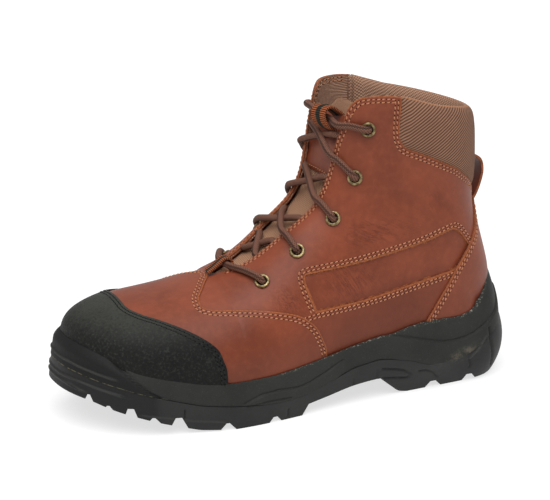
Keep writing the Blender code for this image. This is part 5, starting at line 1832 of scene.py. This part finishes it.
def make_midsole():
    lift = seat_lift() - RIM_SINK
    base = FEATHER - np.array((0.0, 0.0, 0.6))
    loops = [base]
    for part in (0.35, 0.7, 1.0):
        height = FEATHER[:, 2] + part * (SOLE_ROW["rim_z"] - 0.3 - FEATHER[:, 2])
        upper_out = reach_at(height) + lift
        loop = FEATHER + FEATHER_NORMALS * upper_out[:, None]
        loop[:, 2] = height
        loops.append(loop)
    spare = np.maximum(0.0, upper_out + RIM_WIDE - SOLE_ROW["rim_out"])
    shares = np.linspace(0.0, 1.0, WALL_ROWS)
    wall = [side_loop("rim", "part", share, spare) for share in shares]
    crown = 0.35 * loops[-1] + 0.65 * wall[0]
    crown[:, 2] += 0.5
    loops += [crown, *wall]
    midsole = stack("midsole_foam", loops)
    mark_sole(midsole)
    count = len(FEATHER)
    down = np.concatenate((np.zeros(count * (len(loops) - WALL_ROWS)), np.repeat(shares, count)))
    # Painted glint along the rim's top edge, on the back half of the sole.
    behind = np.tile(1.0 - soft_step(FEATHER[:, 0], *RIM_GLINT_FADE), len(loops))
    set_mark(midsole, "rim_glint", (1.0 - soft_step(down, 0.01, 0.06)) * behind)
    front = np.tile(soft_step(FEATHER[:, 0], *FLASH_FADE), len(loops))
    set_mark(midsole, "flash", soft_step(down, 0.965, 0.985) * front)
    finished(midsole, "midsole_grey", (MIDSOLE,), "midsole")
    smooth(midsole, 50.0)


# The arch under the waist in side view, down to the heel's rounded breast.
ARCH_CUT = (
    (160.0, -2.0), (154.5, 6.8), (140.0, 9.0), (122.0, 12.0), (103.0, 13.2), (98.7, 10.3), (93.5, 5.9),
    (88.4, 2.0), (84.5, 0.7), (80.0, -0.2), (79.0, -2.0),
)
# Grooves between the lugs: where each meets the side, its floor's height and half width, and how much wider
# it gets for each millimetre down.
GROOVES = (
    (285.5, 24.0, 24.2, 0.8, 0.5),
    (276.8, 33.7, 18.8, 0.8, 0.9),
    (265.8, 42.0, 17.8, 2.0, 0.4),
    (253.5, 47.5, 11.9, 0.9, 0.95),
    (239.1, 51.0, 10.9, 2.0, 0.54),
    (209.0, 54.5, 4.6, 1.0, 0.95),
    (178.0, 54.0, 3.4, 1.2, 0.8),
    (62.5, 37.5, 4.2, 1.8, 0.9),
    (34.5, 32.5, 4.8, 1.8, 0.7),
)
# How far a groove runs back for each millimetre inwards.
GROOVE_SLANT = 0.42
GROOVE_FROM_MIDDLE = 7.5
GROOVE_CUTTER_DEPTH = 9.0
PRISM_HALF = 90.0
CHANNEL_Y = -3.0
OUTSOLE_ROWS = 34
CHANNEL_CUTTER_DEPTH = 12.0
CHANNELS = ((168.0, 278.0), (24.0, 86.0))
CHANNEL_HALF_WIDTH = 2.5
CHANNEL_FLARE = 1.5
CHANNEL_DEPTH = 4.5


def foot_height(x):
    return float(np.interp(x, SOLE[:, 0], SOLE[:, SOLE_COLUMNS.index("foot_z")]))


def cut(piece, cutter):
    in_edit_mode(cutter, face_out)
    apply(piece, "BOOLEAN", operation="DIFFERENCE", solver="EXACT", object=cutter)
    bpy.data.objects.remove(cutter)


def tread_cutters():
    """The arch, the grooves between the lugs and the channels down the middle."""
    line = smooth_line(ARCH_CUT[1:-1], 6)
    line = np.vstack((ARCH_CUT[:1], line, ARCH_CUT[-1:]))
    count = len(line)
    points = [(x, y, z) for y in (-PRISM_HALF, PRISM_HALF) for x, z in line]
    faces = [list(range(count)), list(range(count, 2 * count))]
    faces += [[k, (k + 1) % count, count + (k + 1) % count, count + k] for k in range(count)]
    yield from_faces("arch_cutter", points, faces)
    for x, side_y, floor_z, floor_half, flare in GROOVES:
        points, faces = [], []
        low_half = floor_half + flare * GROOVE_CUTTER_DEPTH
        for side in (1, -1):
            base = len(points)
            for y in (PRISM_HALF, GROOVE_FROM_MIDDLE):
                centre = x - GROOVE_SLANT * (side_y - y)
                for half, z in ((floor_half, floor_z), (low_half, floor_z - GROOVE_CUTTER_DEPTH)):
                    points += [(centre + way * half, CHANNEL_Y + side * y, z) for way in (-1, 1)]
            a, b, c, d, e, f, g, h = range(base, base + 8)
            faces += [[a, b, d, c], [e, g, h, f], [a, e, f, b], [c, d, h, g], [a, c, g, e], [b, f, h, d]]
        yield from_faces("groove_cutter", points, faces)
    points, faces = [], []
    for start, end in CHANNELS:
        places = np.linspace(start, end, 8)
        base = len(points)
        for x in places:
            z = foot_height(x) + CHANNEL_DEPTH
            narrow, wide = CHANNEL_HALF_WIDTH, CHANNEL_HALF_WIDTH + CHANNEL_FLARE
            for y, low in ((-narrow, 0.0), (narrow, 0.0), (wide, 1.0), (-wide, 1.0)):
                points.append((x, CHANNEL_Y + y, z - low * CHANNEL_CUTTER_DEPTH))
        for k in range(len(places) - 1):
            for m in range(4):
                here, after = base + 4 * k + m, base + 4 * k + (m + 1) % 4
                faces.append([here, after, after + 4, here + 4])
        last = base + 4 * (len(places) - 1)
        faces += [list(range(base, base + 4)), list(range(last, last + 4))]
    yield from_faces("channel_cutter", points, faces)


def make_outsole():
    loops = [side_loop("part", "foot", share) for share in np.linspace(0.0, 1.0, OUTSOLE_ROWS)]
    loops[0][:, 2] -= 0.3
    outsole = stack("outsole_rubber", loops)
    for cutter in tread_cutters():
        cut(outsole, cutter)
    apply(outsole, "BEVEL", width=0.6 * MM, segments=2, limit_method="ANGLE", angle_limit=math.radians(50.0))
    mark_sole(outsole)
    finished(outsole, "rubber_black", (OUTSOLE,), "outsole")
    smooth(outsole, 40.0)


def make_footbed():
    loops = []
    for inset, rise in ((4.6, 4.4), (4.0, 3.9), (4.0, 0.6)):
        line = FEATHER - FEATHER_NORMALS * inset
        line[:, 2] += rise
        loops.append(line)
    footbed = stack("footbed_felt", loops)
    finished(footbed, "footbed", (FOOTBED,), "insole")
    smooth(footbed, 40.0)


CAMERA_TURN = math.radians(24.0)
CAMERA_RISE = math.radians(17.0)
CAMERA_FAR = 1.3
CAMERA_PIVOT = Vector((0.0037, 0.0002, 0.080))
PIXELS_PER_MM = 1.6192
FRAME_WIDTH, FRAME_HEIGHT = 550.0, 500.0
PIVOT_PIXEL = (283.64, 266.83)
SENSOR = 36.0


def make_camera():
    turn, rise = CAMERA_TURN, CAMERA_RISE
    back = Vector((math.sin(turn) * math.cos(rise), math.cos(turn) * math.cos(rise), math.sin(rise)))
    right = Vector((-math.cos(turn), math.sin(turn), 0.0))
    up = back.cross(right)
    camera = bpy.data.objects.new("camera", bpy.data.cameras.new("camera"))
    bpy.context.scene.collection.objects.link(camera)
    camera.matrix_world = Matrix.Translation(CAMERA_PIVOT + back * CAMERA_FAR) @ Matrix(
        [[right[k], up[k], back[k]] for k in range(3)]
    ).to_4x4()
    camera.data.sensor_width = SENSOR
    camera.data.lens = PIXELS_PER_MM * CAMERA_FAR / MM * SENSOR / FRAME_WIDTH
    camera.data.shift_x = (0.5 * FRAME_WIDTH - PIVOT_PIXEL[0]) / FRAME_WIDTH
    camera.data.shift_y = (PIVOT_PIXEL[1] - 0.5 * FRAME_HEIGHT) / FRAME_WIDTH
    bpy.context.scene.camera = camera


# Broad soft lights, as from large windows: the direction that each comes from, its spread in degrees and
# its power.
LIGHTS = (
    ("key", (0.22, 0.40, 0.90), 60.0, 3.3),
    ("rim", (-0.5, -0.6, 0.6), 90.0, 0.6),
)
WORLD_LIGHT = 0.3
FLOOR_GLOW = 0.68


def make_stage():
    bpy.ops.object.select_all(action="DESELECT")
    bpy.ops.mesh.primitive_plane_add(size=12.0)
    floor = bpy.context.object
    floor.name = floor.data.name = "studio_floor"
    pale = Finish("floor_pale", roughness=0.95, specular_ior_level=0.0, emission_strength=FLOOR_GLOW)
    pale.shader.inputs["Emission Color"].default_value = (1.0, 1.0, 1.0, 1.0)
    speck = pale.noise(3.0, 2.0)
    base = pale.mix(speck, tint(158, 158, 158), tint(160, 160, 160))
    floor.data.materials.append(pale.show(base_color=base))
    for name, way, spread, power in LIGHTS:
        lamp = bpy.data.lights.new(name, "SUN")
        lamp.angle, lamp.energy = math.radians(spread), power
        holder = bpy.data.objects.new(name, lamp)
        bpy.context.scene.collection.objects.link(holder)
        holder.rotation_euler = Vector(way).to_track_quat("Z", "Y").to_euler()
    world = bpy.data.worlds.new("studio")
    world.use_nodes = True
    world.node_tree.nodes["Background"].inputs["Color"].default_value = (1.0, 1.0, 1.0, 1.0)
    world.node_tree.nodes["Background"].inputs["Strength"].default_value = WORLD_LIGHT
    bpy.context.scene.world = world
    bpy.context.scene.view_settings.view_transform = "Standard"


make_camera()
make_stage()
make_quarters()
make_bands()
make_vamp()
make_cap()
make_counter()
make_cuff()
make_tongue()
make_straps()
make_eyelets()
make_lace()
make_stitches()
make_midsole()
make_outsole()
make_footbed()
